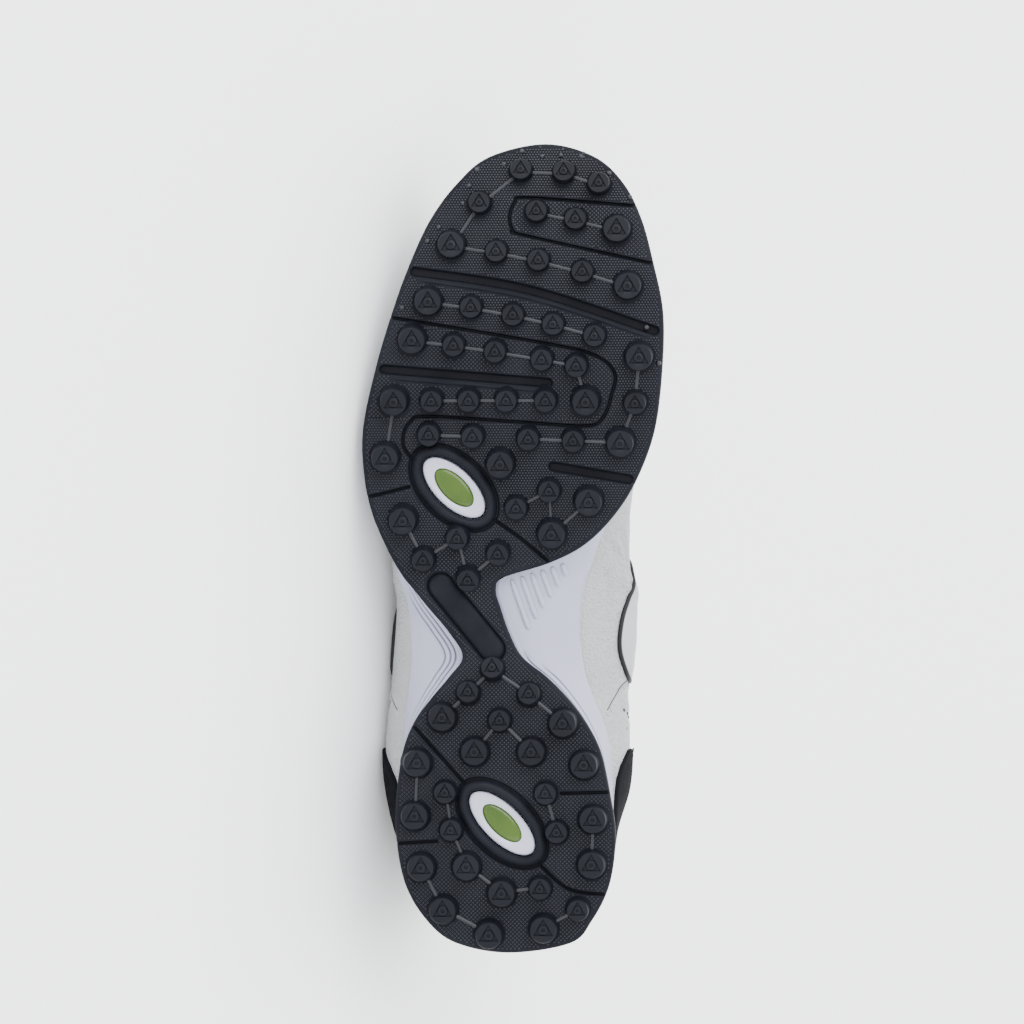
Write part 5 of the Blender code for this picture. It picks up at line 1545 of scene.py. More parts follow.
@dataclass
class Midsole:
    """Foam midsole with engraved lines and cooling ribs."""

    shop: Workshop
    line_depth: float = 0.00055
    lateral_lines: tuple[float, float, float] = (0.0052, 0.0073, 0.0097)
    medial_lines: tuple[float, float, float] = (0.0041, 0.0069, 0.0097)
    rib_radius: float = 0.00095
    rib_proud: float = 0.00025
    rib_count: int = 6
    rib_first: dict[str, float] = field(
        default_factory=lambda: {"along": 0.459, "across": 0.020, "run": 0.060})
    rib_last: dict[str, float] = field(
        default_factory=lambda: {"along": 0.479, "across": 0.187, "run": 0.014})
    rib_slant: float = 0.055
    per_span: int = 8

    def side_points(self) -> tuple[np.ndarray, np.ndarray]:
        """Grid of the side from the rim's inner edge to the feather line.

        Returns:
            Points by station and level, and the distance of each level along the side.
        """
        edge = SHOE.sole_edge(self.per_span)
        seat = inset(edge, SHOE.rim_wall + SHOE.gap)
        feather = closed_curve(SHOE.feather(), self.per_span)
        low = np.column_stack([seat, SHOE.rim(seat[:, 1]) + SHOE.gap])
        high = np.column_stack([feather, SHOE.bed(feather[:, 1])])
        spread = np.linalg.norm(feather - seat, axis=1)
        middle = (low + high) / 2 + np.column_stack([0 * spread, 0 * spread, -0.10 * spread])
        control = 2 * middle - (low + high) / 2
        run = np.linalg.norm(high - low, axis=1)
        rest = np.linspace(0.0, 1.0, 15)[1:]
        rows = []
        for index, total in enumerate(run):
            lateral = index < len(run) // 2
            near = [0.0, 0.0005, 0.0010, 0.0016, 0.0025, 0.0032]
            for at in self.lateral_lines if lateral else self.medial_lines:
                near += [at + step for step in (-0.0005, -0.00022, 0.0, 0.00022, 0.0005)]
            fixed = np.array(near) * min(1.0, total / 0.0125)
            rows.append(np.concatenate([fixed, fixed[-1] + (total - fixed[-1]) * rest]))
        at = np.array(rows)
        t = (at / run[:, None])[..., None]
        grid = low[:, None] * (1 - t) ** 2 + control[:, None] * 2 * t * (1 - t) + high[:, None] * t ** 2
        return grid, at

    def masks(self, count: int) -> np.ndarray:
        """Where each of the three engraved lines runs, by station."""
        along = SHOE.sole_edge(self.per_span)[:, 1] / SHOE.length
        lateral_side = np.arange(count) < count // 2
        rows = []
        for back, front in ((0.378, 0.478), (0.362, 0.470), (0.0, 0.455)):
            lateral = ease((along - 0.20) / 0.05) * ease((front - along) / 0.03)
            medial = ease((along - 0.03) / 0.05) * ease((back - along) / 0.02)
            rows.append(np.where(lateral_side, lateral, medial if back else 0.0))
        return np.stack(rows, axis=1)

    def build_body(self) -> bpy.types.Object:
        """Body of the midsole."""
        grid, at = self.side_points()
        count, levels, _ = grid.shape
        around = np.roll(grid, -1, axis=0) - np.roll(grid, 1, axis=0)
        up = np.gradient(grid, axis=1)
        normal = unit(np.cross(around, up))
        mask = self.masks(count)
        push = np.zeros((count, levels))
        # Painted shade: the engraved lines are darkened in colour as well as pressed in
        score = np.zeros((count, levels))
        for index in range(3):
            first = 6 + 5 * index
            push[:, first + 2] -= self.line_depth * mask[:, index]
            score[:, first + 2] = mask[:, index]
            for step in (1, 3):
                push[:, first + step] -= self.line_depth * mask[:, index] * 0.75
                score[:, first + step] = mask[:, index] * 0.8
        lip = np.exp(-((at - 0.0029) / 0.0008) ** 2) * 0.00030
        push += lip * ease((at[:, -1:] - 0.010) / 0.01)
        grid = grid + normal * push[..., None]
        edge = SHOE.sole_edge(self.per_span)
        seat = inset(edge, SHOE.rim_wall + SHOE.gap)
        foot = np.column_stack([seat, SHOE.plate(seat[:, 1]) + SHOE.gap])
        grid = np.concatenate([foot[:, None], grid], axis=1)
        points = grid.reshape(-1, 3)
        faces = turned_out(points, strip_faces(count, levels + 1))
        marks = {"grit": self.grit_zone(points[:, :2]),
                 "score": np.column_stack([np.zeros(count), score]).ravel()}
        return self.shop.mesh("midsole_body", points, faces, ["foam"], marks=marks)

    def grit_zone(self, plan: np.ndarray) -> np.ndarray:
        """Share of coarse texture between the ribs."""
        shares = ((0.474, 0.02), (0.452, -0.005), (0.400, 0.060), (0.420, 0.135), (0.455, 0.235),
                  (0.500, 0.250))
        return inside_loop(plan, SHOE.line(shares)).astype(float)

    def build_ribs(self, body: bpy.types.Object) -> bpy.types.Object:
        """Raised cooling ribs next to the outsole's arch."""
        inverse = TO_ROW.inverted()
        points = [inverse @ vertex.co for vertex in body.data.vertices]
        faces = [tuple(face.vertices) for face in body.data.polygons]
        surface = BVHTree.FromPolygons(points, faces)
        lines, widths = [], []
        for index in range(self.rib_count):
            share = index / (self.rib_count - 1)
            first = {key: self.rib_first[key] + (self.rib_last[key] - self.rib_first[key]) * share
                     for key in self.rib_first}
            line, width = [], []
            for step in range(15):
                reach = step / 14
                spot = SHOE.place(first["along"] - first["run"] * reach,
                                  first["across"] + self.rib_slant * reach * first["run"]
                                  / self.rib_first["run"])
                hit = surface.ray_cast(Vector((*spot, -0.05)), Vector((0, 0, 1)))[0]
                if hit is None:
                    continue
                line.append((hit.x, hit.y, hit.z - self.rib_proud))
                width.append(0.55 + 0.45 * min(reach / 0.1, (1.0 - reach) / 0.1, 1.0))
            lines.append(np.array(line))
            widths.append(np.array(width))
        return self.shop.rails("midsole_ribs", lines, self.rib_radius, "foam", 12, widths)

    def build(self) -> None:
        """Build and publish the midsole."""
        body = publish(self.build_body(), Slot.FOAM, "midsole")
        publish(self.build_ribs(body), Slot.FOAM)


class UpperForm:
    """Outer face of the upper: any point from a station round the shoe and a level."""

    def __init__(self) -> None:
        """Set the control points of every section."""
        feather = SHOE.feather()
        self.directions = outward(feather)
        foot = feather - self.directions * SHOE.feather_inset
        self.count = len(foot)
        self.half = self.count // 2
        rows, crests = [], []
        for index in range(self.count):
            crest, share, belly = self.section_at(index)
            crests.append(share)
            start = np.array([*foot[index], SHOE.bed(foot[index][1]) + SHOE.gap])
            rows.append(self.controls_at(start, crest, self.directions[index], belly,
                                         0 < index < self.half))
        self.controls = np.array(rows)
        self.crests = np.array(crests)

    def section_at(self, index: int) -> tuple[np.ndarray, float, float]:
        """Crest point, its share of the length, and the belly of one station."""
        if index == 0:
            share, side, belly = SHOE.collar_back_at, 0, SHOE.heel_belly
        elif index == self.half:
            share, side, belly = SHOE.throat_end_at, 0, 0.0
        else:
            lateral = index < self.half
            row = SECTIONS[(index if lateral else self.count - index) - 1]
            values = dict(zip(SECTION_COLUMNS, row))
            side = 1 if lateral else -1
            tail = "lat" if lateral else "med"
            belly = (values["belly_" + tail] - values["feather_" + tail]) * SHOE.ball_width
            share = values["crest"]
        x = SHOE.instep_line(share) + side * SHOE.crest_half_width(share)
        return np.array([x, share * SHOE.length, SHOE.crest_height(share)]), share, belly

    @staticmethod
    def controls_at(start: np.ndarray, crest: np.ndarray, direction: np.ndarray, belly: float,
                    lateral: bool) -> np.ndarray:
        """Four control points of one section, in a row."""
        share = start[1] / SHOE.length
        lean = {name: eased_table(LEANS, column, share)
                for column, name in enumerate(LEAN_COLUMNS)}
        low = lean["low"] if lateral else 0.0
        rise = lean["rise"] * (1 - low)
        shoulder = lean["shoulder"] * (1 - low)
        height = crest[2] - start[2]
        out = np.array([*direction, 0.0])
        up = np.array([0.0, 0.0, 1.0])
        inward = max(0.0, float((start - crest) @ out))
        bulge = SHOE.waist_bulge * float(ease((share - 0.08) / 0.12) * ease((0.56 - share) / 0.10))
        bulge = bulge if lateral else 0.0
        foot = 1.25 * belly + bulge - SHOE.lateral_lean * low
        top = shoulder * inward + 1.4 * belly - 0.4 * bulge
        first = start + out * foot + up * rise * height
        second = crest + out * top - up * lean["drop"] * height
        return np.concatenate([start, first, second, crest])

    def point(self, station: np.ndarray, level: np.ndarray) -> np.ndarray:
        """Points of the outer face."""
        station, level = np.broadcast_arrays(np.asarray(station, float), np.asarray(level, float))
        index = np.floor(station).astype(int)
        t = (station - index)[..., None]
        four = [self.controls[(index + step) % self.count] for step in (-1, 0, 1, 2)]
        control = hermite(*four, t)
        v = level[..., None]
        w = 1 - v
        return (control[..., 0:3] * w ** 3 + control[..., 3:6] * 3 * v * w * w
                + control[..., 6:9] * 3 * v * v * w + control[..., 9:12] * v ** 3)

    def normal(self, station: np.ndarray, level: np.ndarray) -> np.ndarray:
        """Outward normals, level with the floor at the feather line."""
        station, level = np.broadcast_arrays(np.asarray(station, float), np.asarray(level, float))
        around = self.point(station + 0.05, level) - self.point(station - 0.05, level)
        up = (self.point(station, np.minimum(level + 0.01, 1.0))
              - self.point(station, np.maximum(level - 0.01, 0.0)))
        true = unit(np.cross(around, up))
        flat = unit(np.stack([around[..., 1], -around[..., 0], 0 * around[..., 0]], axis=-1))
        share = ease(level / 0.18)[..., None]
        return unit(flat + (true - flat) * share)

    def crest_share(self, station: np.ndarray) -> np.ndarray:
        """Share of the length that the crest of a station reaches."""
        index = np.arange(self.count + 1)
        return np.interp(np.asarray(station) % self.count, index,
                         np.append(self.crests, self.crests[0]))

    def wall(self, station: np.ndarray, level: np.ndarray) -> np.ndarray:
        """Thickness of the wall, padded at the collar."""
        collar = ease((SHOE.throat_top_at - 0.02 - self.crest_share(station)) / 0.09)
        return SHOE.wall + SHOE.collar_padding * collar * ease((level - 0.45) / 0.35)

    def station(self, share: float, side: Side, column: str = "along") -> float:
        """Station whose section stands at a share of the length."""
        ends = (0.0, 1.0) if column == "along" else (SHOE.collar_back_at, SHOE.throat_end_at)
        shares = [ends[0], *SECTIONS[:, SECTION_COLUMNS.index(column)], ends[1]]
        index = float(np.interp(share, shares, np.arange(len(shares))))
        return index if side is Side.LATERAL else self.count - index


@dataclass
class Crease:
    """A crease pressed into the upper along a line."""

    seen_from: Projection
    line: tuple[tuple[float, float], ...]
    depth: float
    width: float

    def push(self, points: np.ndarray, normals: np.ndarray) -> np.ndarray:
        """How far each point moves along its normal."""
        if self.seen_from is Projection.TOP:
            line = SHOE.line(self.line)
            plan, faces_view = points[:, :2], normals[:, 2] > 0.15
        else:
            line = SHOE.side_line(self.line)
            way = 1.0 if self.seen_from is Projection.LATERAL else -1.0
            plan, faces_view = points[:, 1:], normals[:, 0] * way > 0.1
        away = distance_to_line(plan, open_curve(line, 6)) / self.width
        dent = -np.exp(-away ** 2) + 0.45 * np.exp(-((away - 1.9) / 0.8) ** 2)
        return np.where(faces_view, dent * self.depth, 0.0)


CREASES = (
    Crease(Projection.MEDIAL, ((0.515, 0.34), (0.490, 0.42), (0.455, 0.47)), 0.0007, 0.0014),
    Crease(Projection.MEDIAL, ((0.500, 0.30), (0.478, 0.37), (0.440, 0.40)), 0.0006, 0.0012),
    Crease(Projection.MEDIAL, ((0.468, 0.30), (0.440, 0.345), (0.405, 0.36)), 0.0005, 0.0012),
    Crease(Projection.MEDIAL, ((0.545, 0.42), (0.520, 0.52), (0.500, 0.66)), 0.0006, 0.0018),
    Crease(Projection.LATERAL, ((0.560, 0.30), (0.530, 0.40), (0.510, 0.52)), 0.0006, 0.0016),
    Crease(Projection.LATERAL, ((0.480, 0.33), (0.455, 0.40), (0.440, 0.50)), 0.0005, 0.0014),
    Crease(Projection.MEDIAL, ((0.300, 0.42), (0.285, 0.56), (0.262, 0.70)), 0.0005, 0.0016),
    Crease(Projection.LATERAL, ((0.305, 0.42), (0.290, 0.56), (0.268, 0.68)), 0.0005, 0.0016),
    Crease(Projection.TOP, ((0.730, 0.36), (0.716, 0.22), (0.722, 0.06), (0.705, -0.10)),
           0.0010, 0.0026),
    Crease(Projection.TOP, ((0.760, 0.42), (0.748, 0.28), (0.752, 0.12)), 0.0007, 0.0022),
    Crease(Projection.TOP, ((0.700, 0.46), (0.686, 0.36), (0.680, 0.28)), 0.0008, 0.0022),
    Crease(Projection.TOP, ((0.690, -0.38), (0.676, -0.28), (0.668, -0.18)), 0.0008, 0.0022),
    Crease(Projection.TOP, ((0.742, -0.30), (0.730, -0.20), (0.732, -0.08)), 0.0006, 0.0020),
)


@dataclass
class Upper:
    """Leather upper with its overlays, seams and eyelets."""

    shop: Workshop
    form: UpperForm
    per_span: int = 8
    levels: int = 44
    counter_thickness: float = 0.0012
    saddle_thickness: float = 0.0009
    eyestay_thickness: float = 0.0012
    eyelet_radius: float = 0.0021
    eyelet_inset: float = 0.0062
    eyelet_pairs: int = 5
    eyelet_first_at: float = 0.655
    eyelet_last_at: float = 0.468
    stitch_pitch: float = 0.0026
    seam_step: float = 0.0016
    quarter_seam: tuple[tuple[float, float], ...] = (
        (0.291, 0.335), (0.306, 0.385), (0.322, 0.46), (0.325, 0.56), (0.310, 0.67), (0.288, 0.76))

    def outer_grid(self) -> tuple[np.ndarray, np.ndarray, np.ndarray, np.ndarray]:
        """Stations, levels, points and normals of the outer face with its creases."""
        station = np.arange(self.form.count * self.per_span) / self.per_span
        level = np.linspace(0.0, 1.0, self.levels)
        grid_station, grid_level = np.meshgrid(station, level, indexing="ij")
        points = self.form.point(grid_station, grid_level)
        normals = self.form.normal(grid_station, grid_level)
        flat_points = points.reshape(-1, 3)
        flat_normals = normals.reshape(-1, 3)
        push = np.zeros(len(flat_points))
        for crease in CREASES:
            push += crease.push(flat_points, flat_normals)
        push += self.padding(grid_station, grid_level).ravel()
        edge_fade = (ease(grid_level / 0.10) * ease((1.0 - grid_level) / 0.03)).ravel()
        moved = flat_points + flat_normals * (push * edge_fade)[:, None]
        return grid_station, grid_level, moved.reshape(points.shape), normals

    def padding(self, station: np.ndarray, level: np.ndarray) -> np.ndarray:
        """Padded roll of the collar above its seam."""
        collar = ease((SHOE.throat_top_at - 0.05 - self.form.crest_share(station)) / 0.08)
        roll = 0.0013 * np.sin(np.pi * np.clip((level - 0.80) / 0.20, 0.0, 1.0)) ** 0.8
        seam = -0.0008 * np.exp(-((level - 0.79) / 0.012) ** 2)
        return collar * (roll + seam)

    def build_shell(self) -> bpy.types.Object:
        """Hollow shell, leather outside and lining inside."""
        station, level, outer, normals = self.outer_grid()
        wall = self.form.wall(station, level)[..., None]
        inner = outer - normals * wall
        top_out, top_in = outer[:, -1], inner[:, -1]
        rise = unit(outer[:, -1] - outer[:, -3])
        middle = (top_out + top_in) / 2
        across = (top_out - top_in) / 2
        half_wall = np.linalg.norm(across, axis=1, keepdims=True)
        rims = []
        for angle in (35, 90, 145):
            turn = math.radians(angle)
            rims.append(middle + across * math.cos(turn)
                        + rise * half_wall * math.sin(turn) * 0.85)
        rows = np.concatenate([outer, np.stack(rims, axis=1), inner[:, ::-1]], axis=1)
        count, columns, _ = rows.shape
        faces = grid_faces(count, columns, wrap=True)
        closing = np.array([(i * columns + columns - 1, (i + 1) % count * columns + columns - 1,
                             (i + 1) % count * columns, i * columns) for i in range(count)])
        zones = np.zeros((count, columns - 1), dtype=int)
        zones[:, self.levels + 1:] = 1
        zones = np.concatenate([zones.ravel(), np.ones(count, dtype=int)])
        quads = [tuple(face) for face in grid_faces(count, self.levels, wrap=True)]
        self.surface, self.smooth = (
            BVHTree.FromPolygons([Vector(p) for p in grid.reshape(-1, 3)], quads)
            for grid in (outer, self.form.point(station, level)))
        return self.shop.mesh("upper_shell", rows.reshape(-1, 3),
                              np.concatenate([faces, closing]), ["leather", "lining"], zones)

    def punch(self, piece: bpy.types.Object) -> None:
        """Punch the eyelet holes through a piece."""
        points, faces = [], []
        sides = 16
        for centre, normal in zip(*self.eyelets()):
            side = Vector(normal).orthogonal().normalized()
            fore = Vector(normal).cross(side)
            faces += ring_faces(2, sides, len(points))
            for depth in (-0.006, 0.006):
                for angle in np.arange(sides) * 2 * math.pi / sides:
                    spoke = side * math.cos(angle) + fore * math.sin(angle)
                    points.append(Vector(centre) + Vector(normal) * depth
                                  + spoke * self.eyelet_radius)
        data = raw_mesh("eyelet_punch", points, faces=faces)
        data.transform(TO_ROW)
        tool = in_scene("eyelet_punch", data)
        boolean = piece.modifiers.new("punch", "BOOLEAN")
        boolean.operation = "DIFFERENCE"
        boolean.solver = "EXACT"
        boolean.object = tool
        depsgraph = bpy.context.evaluated_depsgraph_get()
        result = bpy.data.meshes.new_from_object(piece.evaluated_get(depsgraph))
        piece.modifiers.remove(boolean)
        bpy.data.objects.remove(tool, do_unlink=True)
        piece.data = result

    def eyelet_shares(self) -> list[float]:
        """Share of the length of each pair of eyelets, front to top."""
        run = self.eyelet_last_at - self.eyelet_first_at
        return [self.eyelet_first_at + run * index / (self.eyelet_pairs - 1)
                for index in range(self.eyelet_pairs)]

    def eyelets(self) -> tuple[np.ndarray, np.ndarray]:
        """Centre and normal of each eyelet, front to top, lateral before medial."""
        centres, normals = [], []
        for share in self.eyelet_shares():
            for side in Side:
                station = self.form.station(share, side, "crest")
                level = np.linspace(1.0, 0.5, 200)
                run = np.linalg.norm(self.form.point(station, level)
                                     - self.form.point(station, 1.0), axis=1)
                at = float(np.interp(self.eyelet_inset, run, level))
                centres.append(self.form.point(station, at))
                normals.append(self.form.normal(station, at))
        return np.array(centres), np.array(normals)

    def patch(self, name: str, points: np.ndarray, normals: np.ndarray, thickness: float,
              finish: str, wrap: bool = False, pole: bool = False) -> bpy.types.Object:
        """Closed overlay with rolled edges over a grid of points on the upper.

        Args:
            name: name of the piece.
            points: grid on the upper's face; the border is its last column, or all sides.
            normals: outward normals of the grid.
            thickness: how far it stands proud.
            finish: name of the finish.
            wrap: whether rows run all the way round.
            pole: whether the first column is one point in the middle.

        Returns:
            The piece.
        """
        rows, columns, _ = points.shape
        edge = np.full((rows, columns), 1e9)
        right = np.linalg.norm(np.diff(points, axis=1), axis=2)
        run = np.concatenate([np.zeros((rows, 1)), np.cumsum(right, axis=1)], axis=1)
        edge = np.minimum(edge, run[:, -1:] - run)
        if not pole:
            edge = np.minimum(edge, run)
            down = np.linalg.norm(np.diff(points, axis=0), axis=2)
            drop = np.concatenate([np.zeros((1, columns)), np.cumsum(down, axis=0)], axis=0)
            if not wrap:
                edge = np.minimum(edge, np.minimum(drop, drop[-1:] - drop))
        t = np.clip(edge / (thickness * 1.1), 0.0, 1.0)
        roll = np.sqrt(np.maximum(0.0, 1.0 - (1.0 - t) ** 2))
        top = points + normals * (SHOE.overlay_gap * 0.3 + thickness * roll)[..., None]
        bottom = points - normals * 0.0004
        faces_top = grid_faces(rows, columns, wrap=wrap)
        start = rows * columns
        faces_bottom = grid_faces(rows, columns, wrap=wrap, start=start, flip=True)
        faces = [tuple(f) for f in faces_top] + [tuple(f) for f in faces_bottom]

        def border(indices: Sequence[int], closed: bool) -> None:
            """Join the two faces along a run of border points."""
            pairs = list(zip(indices, indices[1:]))
            if closed:
                pairs.append((indices[-1], indices[0]))
            faces.extend((a, a + start, b + start, b) for a, b in pairs)

        border([r * columns + columns - 1 for r in range(rows)][::-1], wrap)
        if not pole:
            border([r * columns for r in range(rows)], wrap)
        if not wrap:
            border([k for k in range(columns)][::-1], False)
            border([(rows - 1) * columns + k for k in range(columns)], False)
        all_points = np.concatenate([top.reshape(-1, 3), bottom.reshape(-1, 3)])
        if pole:
            middle = {r * columns + side: side for r in range(rows) for side in (0, start)}
            rings = (tuple(dict.fromkeys(middle.get(k, k) for k in face)) for face in faces)
            faces = [ring for ring in rings if len(ring) > 2]
        used = sorted({k for face in faces for k in face})
        index = {old: new for new, old in enumerate(used)}
        faces = [tuple(index[k] for k in face) for face in faces]
        all_points = all_points[used]
        return self.shop.mesh(name, all_points, turned_out(all_points, faces), [finish],
                              uv=all_points[:, 1:3])

    def drop_from_side(self, plan: np.ndarray, side: Side) -> tuple[np.ndarray, np.ndarray]:
        """Points of the uncreased upper seen from a side at (along, height) points."""
        points, normals = [], []
        for y, z in plan:
            origin = Vector((side.value * 0.2, y, z))
            hit, normal, *_ = self.smooth.ray_cast(origin, Vector((-side.value, 0, 0)))
            if hit is None:
                hit, normal, *_ = self.smooth.find_nearest(Vector((side.value * 0.04, y, z)))
            if normal.x * side.value < 0:
                normal = -normal
            points.append(hit)
            normals.append(normal)
        return np.array(points), np.array(normals)

    def build_saddles(self) -> None:
        """Plain saddle panel on each side with black piping round it."""
        outline = ((0.385, 0.42), (0.345, 0.47), (0.330, 0.60), (0.338, 0.78), (0.352, 0.88),
                   (0.402, 0.90), (0.438, 0.84), (0.466, 0.74), (0.484, 0.64), (0.474, 0.55),
                   (0.436, 0.465))
        loop = closed_curve(SHOE.side_line(outline), 14)
        centre = loop.mean(axis=0)
        steps = np.concatenate([np.linspace(0.0, 0.9, 22), [0.93, 0.955, 0.975, 0.99, 1.0]])
        for side in Side:
            plan = centre + (loop - centre)[:, None, :] * steps[None, :, None]
            points, normals = self.drop_from_side(plan.reshape(-1, 2), side)
            shape = (len(loop), len(steps), 3)
            name = "saddle_panel_" + side.name.lower()
            panel = self.patch(name, points.reshape(shape), normals.reshape(shape),
                               self.saddle_thickness, "leather_smooth", wrap=True, pole=True)
            node = "saddle_" + side.name.lower()
            publish(panel, Slot.LEATHER, node)
            rim, rim_normals = points.reshape(shape)[:, -1], normals.reshape(shape)[:, -1]
            for _ in range(4):
                rim = (np.roll(rim, 1, axis=0) + rim * 2 + np.roll(rim, -1, axis=0)) / 4
            piping = self.shop.rails(node + "_piping", [rim + rim_normals * 0.0003], 0.00095,
                                     "piping", 12, closed=True)
            publish(piping, Slot.SUEDE)

    def counter_grid(self) -> tuple[np.ndarray, np.ndarray]:
        """Grid of the heel counter on the upper, from its medial to its lateral front."""
        top = np.array(((0.0, 0.745), (0.08, 0.73), (0.17, 0.67), (0.21, 0.645), (0.236, 0.60),
                        (0.247, 0.565), (0.252, 0.52)))
        bottom = np.array(((0.0, 0.335), (0.12, 0.335), (0.19, 0.335), (0.210, 0.345),
                           (0.228, 0.375), (0.240, 0.42), (0.249, 0.475), (0.252, 0.52)))
        axis_y = 0.207 * SHOE.length
        reach = math.radians(104.5)
        ends = 1 - np.cos(np.linspace(0.0, math.pi, 150))
        angles = -reach + ends * reach
        columns = np.concatenate([[0.0, 0.01, 0.025, 0.05], np.linspace(0.08, 0.92, 20),
                                  [0.95, 0.975, 0.99, 1.0]])
        rows_points, rows_normals = [], []
        for angle in angles:
            way = Vector((math.sin(angle), -math.cos(angle), 0.0))

            def strike(height: float) -> tuple[Vector, Vector]:
                """Where a ray towards the heel's axis meets the upper at a height."""
                origin = Vector((0.0, axis_y, height)) + way * 0.2
                hit, normal, *_ = self.surface.ray_cast(origin, -way)
                if hit is None:
                    hit, normal, *_ = self.surface.find_nearest(
                        Vector((0.0, axis_y, height)) + way * 0.04)
                return hit, normal if normal.dot(way) > 0 else -normal

            share = strike(0.52 * SHOE.heel_height)[0].y / SHOE.length
            low = float(np.interp(share, bottom[:, 0], bottom[:, 1])) * SHOE.heel_height
            high = float(np.interp(share, top[:, 0], top[:, 1])) * SHOE.heel_height
            hits = [strike(low + (high - low) * column) for column in columns]
            rows_points.append([hit for hit, _ in hits])
            rows_normals.append([normal for _, normal in hits])
        return np.array(rows_points), np.array(rows_normals)

    def build_counter(self) -> None:
        """Suede heel counter with a stitched top edge."""
        points, normals = self.counter_grid()
        counter = self.patch("heel_counter_suede", points, normals, self.counter_thickness,
                             "suede")
        publish(counter, Slot.SUEDE, "heel_counter")
        inner = -6
        offset = SHOE.overlay_gap * 0.3 + self.counter_thickness
        self.stitch("counter_stitches", [(points[6:-6, inner], normals[6:-6, inner])], offset,
                    "thread_black", Slot.SUEDE)

    def build_eyestay(self) -> None:
        """Overlay round the throat with its eyelets and stitches."""
        start = self.form.station(0.452, Side.LATERAL, "crest")
        end = self.form.station(0.452, Side.MEDIAL, "crest")
        stations = np.linspace(start, end, 260)
        columns = np.concatenate([[0.0, 0.01, 0.025, 0.05], np.linspace(0.08, 0.92, 18),
                                  [0.95, 0.975, 0.99, 1.0]])
        level = 0.74 + (0.975 - 0.74) * columns
        grid_station, grid_level = np.meshgrid(stations, level, indexing="ij")
        points = self.form.point(grid_station, grid_level)
        normals = self.form.normal(grid_station, grid_level)
        eyestay = self.patch("eyestay_overlay", points, normals, self.eyestay_thickness,
                             "leather_smooth")
        self.punch(eyestay)
        publish(eyestay, Slot.LEATHER, "eyestay")
        offset = SHOE.overlay_gap * 0.3 + self.eyestay_thickness
        rows = [(points[4:-4, column], normals[4:-4, column]) for column in (5, 7, -6)]
        self.stitch("eyestay_stitches", rows, offset, "thread", Slot.TEXTILE)
        centres, axes = self.eyelets()
        arc = [(math.cos(a), math.sin(a)) for a in np.linspace(-0.5, math.pi + 0.5, 9)]
        rim = [(self.eyelet_radius + 0.0005 + 0.0005 * r, 0.0004 * z) for r, z in arc]
        template = self.ring_mesh("eyelet_ring", rim, 24)
        spots = centres + axes * offset
        turns = turns_from(axes, np.roll(axes, 1, axis=1))
        rings = self.shop.scatter("eyelet_rings", template, spots, turns, "eyelet")
        publish(rings, Slot.LEATHER)

    @staticmethod
    def ring_mesh(name: str, rim: Sequence[tuple[float, float]], sides: int) -> bpy.types.Mesh:
        """Closed ring turned from a profile of (radius, height)."""
        points = []
        for angle in np.arange(sides) * 2 * math.pi / sides:
            points += [(r * math.cos(angle), r * math.sin(angle), z) for r, z in rim]
        return raw_mesh(name, points, faces=ring_faces(sides, len(rim), flip=True, tube=True))

    def stitch(self, name: str, rows: Sequence[tuple[np.ndarray, np.ndarray]], offset: float,
               finish: str, slot: Slot, size: tuple[float, float, float] = (1.0, 1.0, 1.0),
               zigzag: float = 0.0) -> None:
        """Rows of thread stitches on the upper.

        Args:
            name: name of the piece.
            rows: points and normals of each row's line.
            offset: how far the thread lies over those points.
            finish: name of its finish.
            slot: material slot of the record.
            size: factors on the thread's length, width and height.
            zigzag: half width of a zigzag, or 0 for a plain row.
        """
        spots, turns = [], []
        for line, normals in rows:
            both = evenly(np.column_stack([line, normals]), self.stitch_pitch)
            points, axes = both[:, :3], unit(both[:, 3:])
            tangents = np.gradient(points, axis=0)
            if zigzag:
                side = unit(np.cross(axes, tangents))
                way = np.where(np.arange(len(points)) % 2, 1.0, -1.0)[:, None]
                tangents = unit(tangents) + side * way * 1.2
            spots.append(points + axes * offset)
            turns.append(turns_from(axes, tangents))
        sides = 8
        rings = [(-0.00100, 0.00010), (-0.00090, 0.00024), (-0.00060, 0.00030),
                 (0.00060, 0.00030), (0.00090, 0.00024), (0.00100, 0.00010)]
        points = [(x * size[0], radius * size[1] * math.cos(angle),
                   radius * size[2] * math.sin(angle))
                  for x, radius in rings for angle in np.arange(sides) * 2 * math.pi / sides]
        thread = raw_mesh(name + "_thread", points, faces=ring_faces(len(rings), sides, flip=True))
        piece = self.shop.scatter(name, thread, np.concatenate(spots), np.concatenate(turns),
                                  finish)
        publish(piece, slot)

